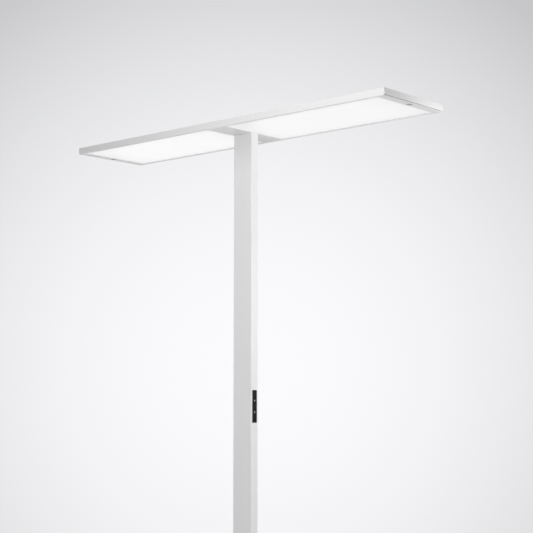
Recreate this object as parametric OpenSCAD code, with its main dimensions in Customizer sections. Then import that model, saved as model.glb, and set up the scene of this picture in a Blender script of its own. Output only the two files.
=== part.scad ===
// Twin-panel office floor lamp: a slim rectangular head with two light panels, carried by a
// flat rectangular column on a steel base plate. A panel with two push keys sits in the column.
// Origin: centre of the footprint, on the floor. +Z is up, +X runs along the head.

/* [Overall] */
// Height from the floor to the top of the head
overall_height = 1950; // [1750:10:2150]

/* [Head] */
// Length of the head
head_length = 1200; // [1000:10:1400]
// Width of the head
head_width = 262; // [240:1:320]
// Height of the head's frame
head_height = 19.5; // [18.5:0.5:26]
// How far the bridge between the light panels stands out beside the column
bridge_margin = 2.6; // [0.5:0.1:10]
// Width of the strip at each end of the underside
end_strip_width = 28; // [28:0.5:40]
// Length of each end cap along the head
end_cap_thickness = 3; // [2:0.5:5]
// Height of the shadow gap between an end cap and the strip below it
shadow_gap = 0.6; // [0.4:0.1:1]
// How far the outer edge of an end strip is set back from the end cap's face
strip_setback = 1.5; // [1:0.1:1.5]

/* [Side rails] */
// Wall of the side rails
rail_wall = 2; // [1.5:0.1:3]
// Width of the rail's lip, seen from below
lip_width = 9.5; // [7:0.5:18]
// Thickness of the lips, the end strips and the bridge cover
lip_thickness = 1.5; // [1.2:0.1:2]
// Width of the inner rib that carries the top cover
rib_width = 12; // [10:0.5:14]
// Thickness of that rib
rib_thickness = 1.5; // [1.4:0.1:2]

/* [Light panels] */
// Thickness of the prismatic diffuser plates
diffuser_thickness = 3; // [2:0.5:4]
// Thickness of the light guide plates
guide_thickness = 4; // [3:0.5:5]
// Thickness of the white reflector sheets
reflector_thickness = 0.5; // [0.3:0.1:1]
// Thickness of the back trays
tray_thickness = 1.2; // [1:0.1:1.5]
// Gap between the light guide's edge and the boards that light it
light_guide_gap = 1.5; // [1.3:0.1:2]
// Distance of the back trays' flanges from the trays' ends
tray_flange_inset = 30; // [20:1:60]
// Thickness of the circuit boards of the LEDs at the edge
edge_board_thickness = 1; // [0.8:0.1:1.2]
// Height of those boards
edge_board_height = 6; // [5:0.5:6.5]
// Distance from one LED to the next
led_pitch = 40; // [20:5:60]
// Edge of an LED
led_size = 2.8; // [2:0.1:3]
// Height of an LED above its board
led_height = 0.7; // [0.5:0.1:0.9]

/* [Top of the head] */
// Thickness of the top cover
cover_thickness = 1.5; // [1.4:0.1:2]
// Width of each window for the light that goes up
window_width = 90; // [40:5:150]
// Distance of the windows from the middle of the head
window_start = 80; // [60:5:100]
// Distance of the windows from the ends of the head
window_end = 80; // [60:5:120]
// Width of the windows' flange under the cover
window_flange = 5; // [3:0.5:8]
// Thickness of the boards under the windows
uplight_board_thickness = 1.6; // [1:0.1:2]
// Width of the boards under the windows
uplight_board_width = 24; // [12:2:32]
// Distance of the outer cover screws from the ends of the head
cover_screw_inset = 40; // [30:1:60]
// Distance of the inner cover screws from the middle of the head
cover_screw_start = 60; // [50:1:70]

/* [Head beam] */
// Wall of the beam that joins the rails and carries the head
beam_wall = 3; // [2:0.5:4]
// Floor of the beam
beam_floor = 4; // [3:0.5:5]
// Length of the beam's solid ends
beam_end_length = 16; // [15:0.5:20]
// Diameter of the cable hole through the beam
cable_hole_diameter = 16; // [10:1:17]

/* [Sensors] */
// Diameter of the sensors' lenses
lens_diameter = 17; // [10:0.5:17]
// How far a lens stands below the underside
lens_drop = 1.8; // [1:0.1:3]
// Thickness of the end strip's flange, in which a lens is seated
lens_seat = 1.5; // [1:0.1:2]
// Length of a sensor's housing along the head
sensor_length = 20; // [19:0.5:21]
// Width of a sensor's housing
sensor_width = 26; // [24:1:40]

/* [Column] */
// Width of the column along X
column_width = 70; // [68:1:80]
// Depth of the column along Y
column_depth = 28; // [28:0.5:40]
// Wall of the column
column_wall = 2.2; // [1.8:0.1:2.5]
// Radius of the column's outer edges
column_edge_radius = 1.5; // [0.5:0.1:1.8]
// Edge of the square screw ports inside the column
port_size = 5.6; // [5.2:0.1:6]
// Diameter of the screw ports' bores
port_bore_diameter = 4; // [3.4:0.1:4.2]

/* [Base] */
// Length of the base plate
base_length = 480; // [380:10:600]
// Width of the base plate
base_width = 300; // [260:10:400]
// Thickness of the base plate
base_thickness = 10; // [8:0.5:15]
// Radius of the base plate's corners
base_corner_radius = 10; // [4:1:30]
// Diameter of the floor pads
pad_diameter = 32; // [20:1:40]
// How far the floor pads stand out
pad_height = 3; // [2:0.5:6]
// Depth of the pads' seats in the base plate
pad_seat_depth = 2; // [1:0.5:3]
// Distance from the plate's edges to the middle of a pad
pad_inset = 34; // [24:1:60]

/* [Column foot] */
// Height of the block inside the column's foot
foot_block_height = 45; // [38:1:60]
// Diameter of the base bolts
base_bolt_diameter = 6; // [4:0.5:6]
// Length of the base bolts in the foot block
base_bolt_reach = 22; // [15:1:30]
// Distance between the two screws in the column's back
foot_screw_spacing = 18; // [12:1:22]

/* [Cable gland] */
// Height of the gland above the foot block
gland_rise = 27; // [22:1:60]
// Diameter of the mains lead that the gland clamps
lead_diameter = 7; // [5:0.1:9]
// Radial play between the lead and the gland's bore
lead_play = 0.1; // [0.05:0.01:0.2]
// Outer diameter of the gland's thread
gland_thread_diameter = 12; // [12:0.5:16]
// Width of the gland's rim around the thread
gland_rim = 3.5; // [3:0.1:5]
// Thickness of the gland's flange
gland_flange_thickness = 3; // [2:0.5:5]
// Length of the tapered nose outside the flange
gland_nose_length = 9; // [6:0.5:14]
// Thickness of the nut inside the column
gland_nut_thickness = 4; // [3:0.5:5]

/* [Control panel] */
// Length of the control panel
panel_length = 92.5; // [90:0.5:120]
// Width of the control panel
panel_width = 18.5; // [17:0.5:18.5]
// Height of the control panel's middle above the floor
panel_height = 1140; // [1000:5:1250]
// How far the panel's flange stands out of the column
panel_flange = 0.5; // [0.5:0.1:1.5]
// Margin of the flange around the cut-out in the column
panel_margin = 0.8; // [0.6:0.1:1]
// Wall of the panel's neck and housing
panel_wall = 0.8; // [0.7:0.1:0.9]
// Height of each key
key_height = 30; // [20:0.5:30]
// Width of each key
key_width = 11.8; // [9:0.1:11.8]
// Distance between the middles of the two keys
key_spacing = 32.7; // [32.6:0.1:36]
// Travel of each key
key_travel = 1; // [0.5:0.1:1]
// How far the keys stand out of the panel
key_rise = 0.2; // [0.2:0.1:1]
// Diameter of the round mark on the upper key
mark_diameter = 3.7; // [2:0.1:6]
// Width of the bar mark on the lower key
bar_mark_width = 2; // [1.5:0.1:4]
// Height of the bar mark on the lower key
bar_mark_height = 5; // [4.5:0.1:12]

/* [Electrics in the column] */
// Height of the carrier's lower end above the gland
carrier_rise = 38; // [20:1:80]
// Length of the carrier
carrier_length = 500; // [480:10:600]
// Thickness of the carrier
carrier_thickness = 1.5; // [1:0.1:2]
// Length of the LED driver
driver_length = 280; // [200:10:285]
// Width of the LED driver
driver_width = 30; // [20:1:32]
// Depth of the LED driver
driver_depth = 20; // [15:0.5:21]
// Length of the lighting controller
controller_length = 90; // [60:5:95]
// Depth of the lighting controller
controller_depth = 15; // [10:0.5:18]
// Length of the mains terminal block
terminal_length = 22; // [18:1:30]
// Depth of the mains terminal block
terminal_depth = 14; // [10:0.5:18]
// Free length between the parts on the carrier
carrier_spacing = 25; // [22:1:28]

/* [Wires] */
// Diameter of the cable that runs up to the head
head_cable_diameter = 6; // [4:0.5:7]
// Diameter of the control panel's cable
control_cable_diameter = 3; // [2.5:0.1:3.4]
// Diameter of the mains wires
mains_wire_diameter = 2.6; // [2:0.1:3]
// Diameter of the sensors' wires
sensor_wire_diameter = 2.4; // [2:0.1:2.6]
// Diameter of the LED boards' wires
board_wire_diameter = 1.6; // [1.2:0.1:1.8]
// Height above the controller at which the head's cable is in the middle of the column
head_cable_bend = 90; // [60:5:120]
// Distance from the light panel's inner end at which a sensor's wire lies straight
sensor_wire_lead = 40; // [20:1:50]
// Distance from the light panel's outer end at which a sensor's wire leaves its line
sensor_wire_turn = 26; // [24:1:40]
// Distance from the light panel's outer end at which it nears the middle
sensor_wire_return = 14; // [12:1:18]

/* [Clearances] */
// Gap between pieces that drop into each other
fit_gap = 0.2; // [0.15:0.05:0.3]
// Radial gap between a screw and its thread
thread_gap = 0.05; // [0.02:0.01:0.1]
// Radial gap of a screw in a plain hole
screw_gap = 0.2; // [0.1:0.05:0.4]

/* [Hidden] */
$fn = 48;

// Colours, as the photograph shows them
WHITE = [0.93, 0.93, 0.93];
BLACK = [0.05, 0.05, 0.055];
OPAL = [0.97, 0.97, 0.98];
STEEL = [0.62, 0.63, 0.65];
ALUMINIUM = [0.78, 0.79, 0.8];
RUBBER = [0.16, 0.16, 0.17];
BOARD = [0.9, 0.92, 0.9];
CONTROL_BOARD = [0.08, 0.3, 0.18];
MODULE = [0.85, 0.85, 0.83];
CABLE = [0.82, 0.82, 0.82];
LENS = [0.72, 0.72, 0.72];

// Levels above the floor
plate_bottom = pad_height;
plate_top = plate_bottom + base_thickness;
head_top = overall_height;
head_bottom = head_top - head_height;
column_height = head_bottom - plate_top;
recess_level = head_bottom + lip_thickness;
guide_level = recess_level + diffuser_thickness;
reflector_level = guide_level + guide_thickness;
tray_level = reflector_level + reflector_thickness;
tray_top = tray_level + tray_thickness;
cover_level = head_top - cover_thickness;
rib_level = cover_level - rib_thickness;
beam_floor_top = recess_level + beam_floor;

// Head, in plan
half_length = head_length / 2;
half_width = head_width / 2;
half_bridge = column_width / 2 + bridge_margin;
rail_length = head_length - 2 * end_cap_thickness;
wall_inside = half_width - rail_wall;
lip_inside = half_width - lip_width;
strip_start = half_length - end_strip_width;
strip_end = half_length - strip_setback;
panel_overlap = 1.7;
panel_inner_end = half_bridge - panel_overlap;
panel_outer_end = strip_start + panel_overlap;
panel_half_width = wall_inside - edge_board_thickness - light_guide_gap;
board_inner_end = panel_inner_end + 5;
beam_half_width = half_bridge - 2;
flange_start = panel_outer_end + fit_gap;
strip_top = recess_level + lens_seat;
cap_bottom = recess_level + shadow_gap;
lens_flange_diameter = lens_diameter + 3;
lens_margin = 0.6;
lens_x = flange_start + lens_flange_diameter / 2 + lens_margin;
window_length = half_length - window_start - window_end;

// Column, in plan
cavity_x = column_width - 2 * column_wall;
cavity_y = column_depth - 2 * column_wall;
column_face = column_width / 2;
column_inner_face = column_face - column_wall;
port_inset = 15;
port_offset = column_face - port_inset;
port_y = cavity_y / 2 - port_size / 2 + 0.4;
base_bolt_x = cavity_x / 2 - 5;
base_bolt_y = cavity_y / 2 - 5.2;
base_bolt_head_radius = 0.94 * base_bolt_diameter;
panel_neck_width = panel_width - 2 * panel_margin;
panel_neck_length = panel_length - 2 * panel_margin;
key_flange_width = panel_neck_width - 2 * panel_wall - 2 * fit_gap;
key_flange_height = key_height + 2 * panel_margin;

// Control panel, counted inwards from the column's face
panel_front_thickness = 2;
key_flange_thickness = 1.2;
key_running_gap = 0.15;
panel_front = column_face + panel_flange;
panel_back = panel_front - panel_front_thickness;
key_flange_front = panel_back - key_running_gap;
key_flange_back = key_flange_front - key_flange_thickness;
plunger_front = key_flange_back - 1.25;
plunger_rise = key_travel + 0.2;
switch_front = plunger_front - plunger_rise;
switch_depth = 3;
switch_size = 6;
switch_floor = 0.3;
board_front = switch_front - switch_depth;
control_board_thickness = 1.6;
housing_front = switch_front;
housing_back = board_front - control_board_thickness - 2;
plunger_radius = 1.6;
plunger_length = 1.6 + plunger_rise;
mark_depth = 1;
control_cable_x = board_front + control_cable_diameter / 2 + fit_gap;
control_cable_end = panel_height - panel_neck_length / 2 + panel_wall + 3;

// Cable gland
gland_axis_y = column_depth / 2;
gland_z = plate_top + foot_block_height + gland_rise;
lead_bore = lead_diameter + 2 * lead_play;
gland_flange_diameter = gland_thread_diameter + 2 * gland_rim;
gland_barrel_length = column_wall + gland_nut_thickness + 2;

// Parts on the carrier, counted upwards
carrier_bottom = gland_z + carrier_rise;
carrier_y = -cavity_y / 2;
carrier_front = carrier_y + carrier_thickness;
carrier_width = 2 * (port_offset - port_size / 2) - 2 * fit_gap;
terminal_bottom = carrier_bottom + 10;
driver_bottom = terminal_bottom + terminal_length + carrier_spacing;
driver_tab = 10;
driver_tab_thickness = 3;
controller_bottom = driver_bottom + driver_length + carrier_spacing;
controller_top = controller_bottom + controller_length;
terminal_height = 8;
head_cable_end = beam_floor_top;
cable_lead = 20;

// Screws
m3_radius = 1.5;
m3_head_radius = 2.8;
m4_radius = 2;
m4_head_radius = 4;
screw_head_height = 2;
foot_screw_length = 14;
column_screw_reach = 20;
column_screw_head = 1.8 * port_bore_diameter;
rail_screw_x = beam_half_width - 10;
rib_middle = wall_inside - rib_width / 2;
outer_cover_screw_x = half_length - cover_screw_inset;
cover_screw_x = [for (sx = [-1, 1], x = [cover_screw_start, half_length / 2, outer_cover_screw_x])
    sx * x];

// Wires in the head
wire_y = 62;
board_wire_step = 6;
board_wire_lead = 20;
sensor_wire_z = tray_top + sensor_wire_diameter / 2 + 0.02;
board_wire_z = tray_top + board_wire_diameter / 2 + 0.02;
edge_board_low = (guide_level + reflector_level - edge_board_height) / 2;

// ---------------------------------------------------------------- shared shapes

// Rectangle with round corners, centred on the origin
module rounded_rect(width, height, radius) {
    square([width - 2 * radius, height], center = true);
    square([width, height - 2 * radius], center = true);
    for (sx = [-1, 1], sy = [-1, 1])
        translate([sx * (width / 2 - radius), sy * (height / 2 - radius)])
            circle(r = radius);
}

// Box from its lowest to its highest corner
module box(low, high) {
    translate(low) cube(high - low);
}

// Screw with a flat countersunk head, whose top is at the origin; it points down
module countersunk_screw(radius, head_radius, length) {
    head_height = head_radius - radius;
    translate([0, 0, -head_height]) cylinder(r1 = radius, r2 = head_radius, h = head_height);
    translate([0, 0, -length]) cylinder(r = radius, h = length - head_height);
}

// Seat of such a screw; the gap is left all round
module countersunk_hole(radius, head_radius, length, gap) {
    head_height = head_radius - radius;
    translate([0, 0, -head_height])
        cylinder(r1 = radius + gap, r2 = head_radius + gap, h = head_height);
    cylinder(r = head_radius + gap, h = 1);
    translate([0, 0, -length]) cylinder(r = radius + gap, h = length - head_height + 0.01);
}

// A piece of the right half of the head, or its mirror image on the left
module on_side(side) {
    if (side > 0) children();
    else mirror([1, 0, 0]) children();
}

// ---------------------------------------------------------------- tubes along a route

function unit(v) = v / norm(v);
function tangent(p, i) = unit(p[min(i + 1, len(p) - 1)] - p[max(i - 1, 0)]);
function across(n, t) = unit(n - (n * t) * t);
function first_normal(t) = abs(t[2]) > 0.8 ? across([1, 0, 0], t) : across([0, 0, 1], t);
function normals(p, i = 0, n = undef) =
    i >= len(p) ? [] :
    let (t = tangent(p, i), m = i == 0 ? first_normal(t) : across(n, t))
    concat([m], normals(p, i + 1, m));
function curve_point(a, b, ta, tb, t) =
    let (s = norm(b - a))
    (2 * t * t * t - 3 * t * t + 1) * a + (t * t * t - 2 * t * t + t) * s * ta
    + (3 * t * t - 2 * t * t * t) * b + (t * t * t - t * t) * s * tb;
function spline(p, steps) = concat(
    [for (i = [0:len(p) - 2], k = [0:steps - 1])
        curve_point(p[i], p[i + 1], tangent(p, i), tangent(p, i + 1), k / steps)],
    [p[len(p) - 1]]);

// Round tube of one diameter along a smooth line through the points of a route
module tube(route, diameter, steps = 4, sides = 8) {
    line = spline(route, steps);
    ring_normals = normals(line);
    count = len(line);
    points = [for (i = [0:count - 1])
        let (n = ring_normals[i], b = cross(tangent(line, i), n))
        for (k = [0:sides - 1])
            line[i] + diameter / 2 * (cos(360 * k / sides) * n + sin(360 * k / sides) * b)];
    walls = [for (i = [0:count - 2], k = [0:sides - 1])
        let (a = i * sides + k, b = i * sides + (k + 1) % sides)
        each [[a, a + sides, b], [b, a + sides, b + sides]]];
    ends = [[for (k = [0:sides - 1]) k],
            [for (k = [sides - 1:-1:0]) (count - 1) * sides + k]];
    polyhedron(points = points, faces = concat(walls, ends), convexity = 4);
}

// ---------------------------------------------------------------- base

module pad_places() {
    for (sx = [-1, 1], sy = [-1, 1])
        translate([sx * (base_length / 2 - pad_inset), sy * (base_width / 2 - pad_inset), 0])
            children();
}

module base_bolt_places() {
    for (sx = [-1, 1], sy = [-1, 1])
        translate([sx * base_bolt_x, sy * base_bolt_y, plate_bottom])
            mirror([0, 0, 1]) children();
}

module base_plate() {
    color(WHITE) difference() {
        translate([0, 0, plate_bottom]) linear_extrude(base_thickness)
            rounded_rect(base_length, base_width, base_corner_radius);
        pad_places() translate([0, 0, plate_bottom - 1])
            cylinder(d = pad_diameter + 2 * fit_gap, h = pad_seat_depth + 1);
        base_bolt_places() countersunk_hole(
            base_bolt_diameter / 2, base_bolt_head_radius, base_thickness + 1, screw_gap);
    }
}

module floor_pads() {
    color(RUBBER) pad_places() cylinder(d = pad_diameter, h = pad_height + pad_seat_depth);
}

module base_bolts() {
    color(STEEL) base_bolt_places() countersunk_screw(
        base_bolt_diameter / 2 - thread_gap, base_bolt_head_radius,
        base_thickness + base_bolt_reach);
}

// ---------------------------------------------------------------- column

module port_places() {
    for (sx = [-1, 1], sy = [-1, 1])
        translate([sx * port_offset, sy * port_y]) children();
}

module foot_screw_places() {
    for (sx = [-1, 1])
        translate([sx * foot_screw_spacing / 2, column_depth / 2,
                   plate_top + foot_block_height - 10])
            rotate([-90, 0, 0]) children();
}

module foot_block() {
    height = foot_block_height;
    notch = port_size + 2 * fit_gap;
    color(ALUMINIUM) difference() {
        translate([0, 0, plate_top + height / 2])
            cube([cavity_x - 2 * fit_gap, cavity_y - 2 * fit_gap, height], center = true);
        for (sx = [-1, 1], sy = [-1, 1])
            translate([sx * port_offset, sy * cavity_y / 2, plate_top + height / 2])
                cube([notch, 2 * notch, height + 2], center = true);
        base_bolt_places() translate([0, 0, -base_thickness - base_bolt_reach - 2])
            cylinder(d = base_bolt_diameter, h = base_bolt_reach + 3);
        foot_screw_places() translate([0, 0, -foot_screw_length - 2])
            cylinder(r = m4_radius, h = foot_screw_length + 6);
    }
}

module foot_screws() {
    color(STEEL) foot_screw_places()
        countersunk_screw(m4_radius - thread_gap, m4_head_radius, foot_screw_length);
}

module column_section() {
    difference() {
        union() {
            difference() {
                rounded_rect(column_width, column_depth, column_edge_radius);
                square([cavity_x, cavity_y], center = true);
            }
            for (sx = [-1, 1], sy = [-1, 1])
                translate([sx * port_offset, sy * (cavity_y / 2 - port_size / 2)])
                    square([port_size, port_size + 0.2], center = true);
        }
        port_places() circle(d = port_bore_diameter);
    }
}

module column_profile() {
    color(WHITE) difference() {
        translate([0, 0, plate_top]) linear_extrude(column_height) column_section();
        translate([column_face, 0, panel_height])
            cube([4 * column_wall, panel_neck_width + 2 * fit_gap,
                  panel_neck_length + 2 * fit_gap], center = true);
        translate([0, gland_axis_y - column_wall - 1, gland_z]) rotate([-90, 0, 0])
            cylinder(d = gland_thread_diameter + 2 * fit_gap, h = column_wall + 2);
        foot_screw_places()
            countersunk_hole(m4_radius, m4_head_radius, 2 * column_wall, thread_gap);
    }
}

// ---------------------------------------------------------------- cable gland

module cable_gland() {
    color(BLACK) translate([0, gland_axis_y, gland_z]) rotate([-90, 0, 0]) difference() {
        union() {
            cylinder(d = gland_flange_diameter, h = gland_flange_thickness);
            translate([0, 0, gland_flange_thickness])
                cylinder(d1 = gland_thread_diameter + 2, d2 = lead_bore + 2,
                         h = gland_nose_length);
            translate([0, 0, -gland_barrel_length])
                cylinder(d = gland_thread_diameter, h = gland_barrel_length + 0.01);
        }
        translate([0, 0, -gland_barrel_length - 1])
            cylinder(d = lead_bore,
                     h = gland_barrel_length + gland_flange_thickness + gland_nose_length + 2);
    }
}

module gland_nut() {
    color(BLACK) translate([0, gland_axis_y - column_wall, gland_z]) rotate([90, 0, 0])
        difference() {
            cylinder(d = gland_flange_diameter, h = gland_nut_thickness, $fn = 6);
            translate([0, 0, -1])
                cylinder(d = gland_thread_diameter + 2 * thread_gap,
                         h = gland_nut_thickness + 2);
        }
}

// ---------------------------------------------------------------- electrics in the column

module driver_screw_places() {
    for (z = [driver_bottom - driver_tab / 2, driver_bottom + driver_length + driver_tab / 2])
        translate([0, carrier_front + driver_tab_thickness, z]) rotate([-90, 0, 0])
            children();
}

module driver_carrier() {
    color(ALUMINIUM) difference() {
        box([-carrier_width / 2, carrier_y, carrier_bottom],
            [carrier_width / 2, carrier_front, carrier_bottom + carrier_length]);
        driver_screw_places() translate([0, 0, -2 * driver_tab_thickness])
            cylinder(r = m3_radius, h = 2 * driver_tab_thickness);
    }
}

module driver_screws() {
    color(STEEL) driver_screw_places() {
        cylinder(r = m3_head_radius, h = screw_head_height);
        length = driver_tab_thickness + carrier_thickness - 0.1;
        translate([0, 0, -length]) cylinder(r = m3_radius - thread_gap, h = length + 0.01);
    }
}

// Case of an electrical part that lies on the carrier
module carrier_case(width, depth, bottom, length) {
    box([-width / 2, carrier_front, bottom], [width / 2, carrier_front + depth, bottom + length]);
}

module mains_terminal() {
    pole = driver_width / 3;
    color(MODULE) difference() {
        carrier_case(driver_width, terminal_depth, terminal_bottom, terminal_length);
        for (k = [-1, 0, 1], z = [0.3, 0.7])
            translate([k * pole, carrier_front + terminal_depth - 4,
                       terminal_bottom + z * terminal_length])
                rotate([-90, 0, 0]) cylinder(d = pole * 0.5, h = 5);
    }
}

module led_driver() {
    color(MODULE) difference() {
        union() {
            carrier_case(driver_width, driver_depth, driver_bottom, driver_length);
            carrier_case(driver_width * 0.6, driver_tab_thickness,
                         driver_bottom - driver_tab, driver_length + 2 * driver_tab);
        }
        driver_screw_places() translate([0, 0, -2 * driver_tab_thickness])
            cylinder(r = m3_radius + screw_gap, h = 3 * driver_tab_thickness);
    }
}

module lighting_controller() {
    color(MODULE)
        carrier_case(driver_width, controller_depth, controller_bottom, controller_length);
}

// Slightly bowed wires between two of the cases, clear of the screw heads
module case_wires(places, low) {
    y = carrier_front + driver_tab_thickness + screw_head_height + mains_wire_diameter;
    step = carrier_spacing / 3;
    color(CABLE) for (k = places) {
        x = k * driver_width / 3.4;
        tube([[x, y, low], [x, y + 0.5, low + step], [x, y + 0.5, low + 2 * step],
              [x, y, low + carrier_spacing]], mains_wire_diameter);
    }
}

module mains_wires() { case_wires([-1, 0, 1], terminal_bottom + terminal_length); }
module driver_output_wires() { case_wires([-1, 1], driver_bottom + driver_length); }

// From the controller's top to the terminal in the head
module head_cable() {
    y = carrier_front + controller_depth / 2;
    run = head_cable_end - controller_top;
    color(CABLE) tube([
        [-8, y, controller_top], [-8, y, controller_top + cable_lead],
        [-6, 0, controller_top + head_cable_bend], [-5, 1, controller_top + run * 0.3],
        [-6, 0, controller_top + run * 0.5], [-5, 1, controller_top + run * 0.7],
        [-2, 0, controller_top + run * 0.9], [0, 0, head_cable_end - cable_lead],
        [0, 0, head_cable_end]], head_cable_diameter);
}

// From the controller's top to the plug at the control board's lower end
module control_cable() {
    y = carrier_front + controller_depth / 2;
    x = control_cable_x;
    run = control_cable_end - controller_top;
    color(CABLE) tube([
        [8, y, controller_top], [8, y, controller_top + cable_lead],
        [12, -1, controller_top + run * 0.2], [18, 0, controller_top + run * 0.45],
        [x - 3, 0, controller_top + run * 0.7], [x, 0, controller_top + run * 0.88],
        [x, 0, control_cable_end - cable_lead], [x, 0, control_cable_end]],
        control_cable_diameter);
}

// ---------------------------------------------------------------- control panel

// Height of a key's middle: the upper key is +1, the lower key is -1
function key_z(place) = panel_height + place * key_spacing / 2;

// Square frame between two depths, counted along X
module panel_sleeve(back, front) {
    translate([back, 0, panel_height]) rotate([90, 0, 90]) linear_extrude(front - back)
        difference() {
            square([panel_neck_width, panel_neck_length], center = true);
            square([panel_neck_width - 2 * panel_wall, panel_neck_length - 2 * panel_wall],
                   center = true);
        }
}

// Slot for the cable in the lower end of the panel's neck and housing
module panel_cable_slot() {
    half = control_cable_diameter / 2 + fit_gap;
    low = panel_height - panel_neck_length / 2 - 1;
    box([control_cable_x - half, -half, low], [control_cable_x + half, half, low + 3]);
}

module control_fascia() {
    color(BLACK) difference() {
        union() {
            translate([column_face, 0, panel_height]) rotate([90, 0, 90])
                linear_extrude(panel_flange) rounded_rect(panel_width, panel_length, 1.5);
            box([panel_back, -panel_neck_width / 2, panel_height - panel_neck_length / 2],
                [column_face + 0.01, panel_neck_width / 2, panel_height + panel_neck_length / 2]);
            panel_sleeve(housing_front, panel_back + 0.01);
            for (s = [-1, 1])
                translate([column_inner_face - fit_gap - 0.75, 0,
                           panel_height + s * (panel_neck_length / 2 + 0.3)])
                    cube([1.5, 8, 1.2], center = true);
        }
        for (place = [-1, 1])
            translate([panel_front, 0, key_z(place)])
                cube([4 * panel_front_thickness, key_width + 2 * fit_gap,
                      key_height + 2 * fit_gap], center = true);
        panel_cable_slot();
    }
}

module control_housing() {
    color(BLACK) difference() {
        union() {
            panel_sleeve(housing_back, housing_front);
            box([housing_back, -panel_neck_width / 2, panel_height - panel_neck_length / 2],
                [housing_back + panel_wall, panel_neck_width / 2,
                 panel_height + panel_neck_length / 2]);
        }
        panel_cable_slot();
    }
}

module control_board() {
    width = panel_neck_width - 2 * panel_wall - 2 * fit_gap;
    length = panel_neck_length - 2 * panel_wall - 2 * fit_gap;
    color(CONTROL_BOARD) {
        box([board_front - control_board_thickness, -width / 2, panel_height - length / 2],
            [board_front, width / 2, panel_height + length / 2]);
        for (sy = [-1, 1], s = [-1, 1])
            translate([housing_back + panel_wall, sy * (width / 2 - 2),
                       panel_height + s * length / 3])
                rotate([0, 90, 0])
                    cylinder(r = 1.5, h = board_front - housing_back - panel_wall);
        box([board_front - 0.01, -2.5, control_cable_end],
            [board_front + 3, 2.5, control_cable_end + 5]);
    }
}

module key_switches() {
    color(BLACK) for (place = [-1, 1]) difference() {
        translate([board_front + switch_depth / 2, 0, key_z(place)])
            cube([switch_depth, switch_size, switch_size], center = true);
        translate([board_front + switch_floor, 0, key_z(place)]) rotate([0, 90, 0])
            cylinder(r = plunger_radius + 0.1, h = switch_depth);
    }
}

module key_blank(place) {
    front = panel_front + key_rise;
    union() {
        box([key_flange_front - 0.01, -key_width / 2, key_z(place) - key_height / 2],
            [front, key_width / 2, key_z(place) + key_height / 2]);
        box([key_flange_back, -key_flange_width / 2, key_z(place) - key_flange_height / 2],
            [key_flange_front, key_flange_width / 2, key_z(place) + key_flange_height / 2]);
        translate([plunger_front, 0, key_z(place)]) rotate([0, 90, 0])
            cylinder(r = plunger_radius, h = key_flange_back - plunger_front + 0.01);
    }
}

// Outline of a key's mark: round if it is as high as it is wide
module mark_section(width, height) {
    if (height > width) square([width, height - width], center = true);
    for (s = [-1, 1]) translate([0, s * (height - width) / 2]) circle(d = width);
}

module key_mark(place, width, height, depth = mark_depth) {
    translate([panel_front + key_rise - mark_depth, 0, key_z(place)]) rotate([90, 0, 90])
        linear_extrude(depth) mark_section(width, height);
}

module key(place, width, height) {
    color(BLACK) difference() {
        key_blank(place);
        key_mark(place, width + 2 * thread_gap, height + 2 * thread_gap, mark_depth + 1);
    }
}

module plunger(place) {
    color(WHITE) translate([plunger_front - plunger_length, 0, key_z(place)])
        rotate([0, 90, 0]) cylinder(r = plunger_radius, h = plunger_length);
}

module upper_key() { key(1, mark_diameter, mark_diameter); }
module upper_key_mark() { color(OPAL) key_mark(1, mark_diameter, mark_diameter); }
module upper_switch_plunger() { plunger(1); }
module lower_key() { key(-1, bar_mark_width, bar_mark_height); }
module lower_key_mark() { color(OPAL) key_mark(-1, bar_mark_width, bar_mark_height); }
module lower_switch_plunger() { plunger(-1); }

// ---------------------------------------------------------------- frame of the head

module cover_screw_places() {
    for (x = cover_screw_x, sy = [-1, 1])
        translate([x, sy * rib_middle, head_top]) children();
}

module rail_screw_places() {
    for (sx = [-1, 1], sy = [-1, 1])
        translate([sx * rail_screw_x, sy * rib_middle, cover_level]) children();
}

// The rail on the +Y side
module rear_side_rail() {
    half = rail_length / 2;
    color(WHITE) difference() {
        union() {
            box([-half, wall_inside, head_bottom], [half, half_width, head_top]);
            box([-half, lip_inside, head_bottom], [half, half_width, recess_level]);
            box([-half, wall_inside - rib_width, rib_level], [half, half_width, cover_level]);
        }
        cover_screw_places() translate([0, 0, -cover_thickness - rib_thickness - 1])
            cylinder(r = m3_radius, h = rib_thickness + 2);
        rail_screw_places() countersunk_hole(
            m3_radius, m3_head_radius, rib_thickness + 1, thread_gap);
    }
}

module front_side_rail() { mirror([0, 1, 0]) rear_side_rail(); }

// Plate over the head's end above the strip, with a tongue in each rail's channel
module end_cap(side) {
    inner = rail_length / 2;
    tongue_y = wall_inside - rib_width + fit_gap;
    color(WHITE) on_side(side) {
        box([inner, -half_width, cap_bottom], [half_length, half_width, head_top]);
        for (sy = [0, 1]) mirror([0, sy, 0])
            box([inner - 10, tongue_y, strip_top + fit_gap / 2],
                [inner + 0.01, wall_inside - fit_gap / 2, rib_level - fit_gap / 2]);
    }
}

module left_end_cap() { end_cap(-1); }
module right_end_cap() { end_cap(1); }

// Strip between the lips, with a flange on them and an outer edge across the rails' ends
module end_strip(side) {
    color(WHITE) on_side(side) difference() {
        union() {
            box([strip_start, -lip_inside + fit_gap, head_bottom],
                [strip_end, lip_inside - fit_gap, recess_level]);
            box([flange_start, -wall_inside + fit_gap, recess_level],
                [rail_length / 2 - fit_gap, wall_inside - fit_gap, strip_top]);
            box([rail_length / 2 + fit_gap / 2, -half_width, head_bottom],
                [strip_end, half_width, recess_level]);
        }
        translate([lens_x, 0, head_bottom - 1])
            cylinder(d = lens_diameter + 2 * fit_gap, h = lip_thickness + 2);
        translate([lens_x, 0, recess_level])
            cylinder(d = lens_flange_diameter + 2 * fit_gap, h = lens_seat + 1);
    }
}

module left_end_strip() { end_strip(-1); }
module right_end_strip() { end_strip(1); }

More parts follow.
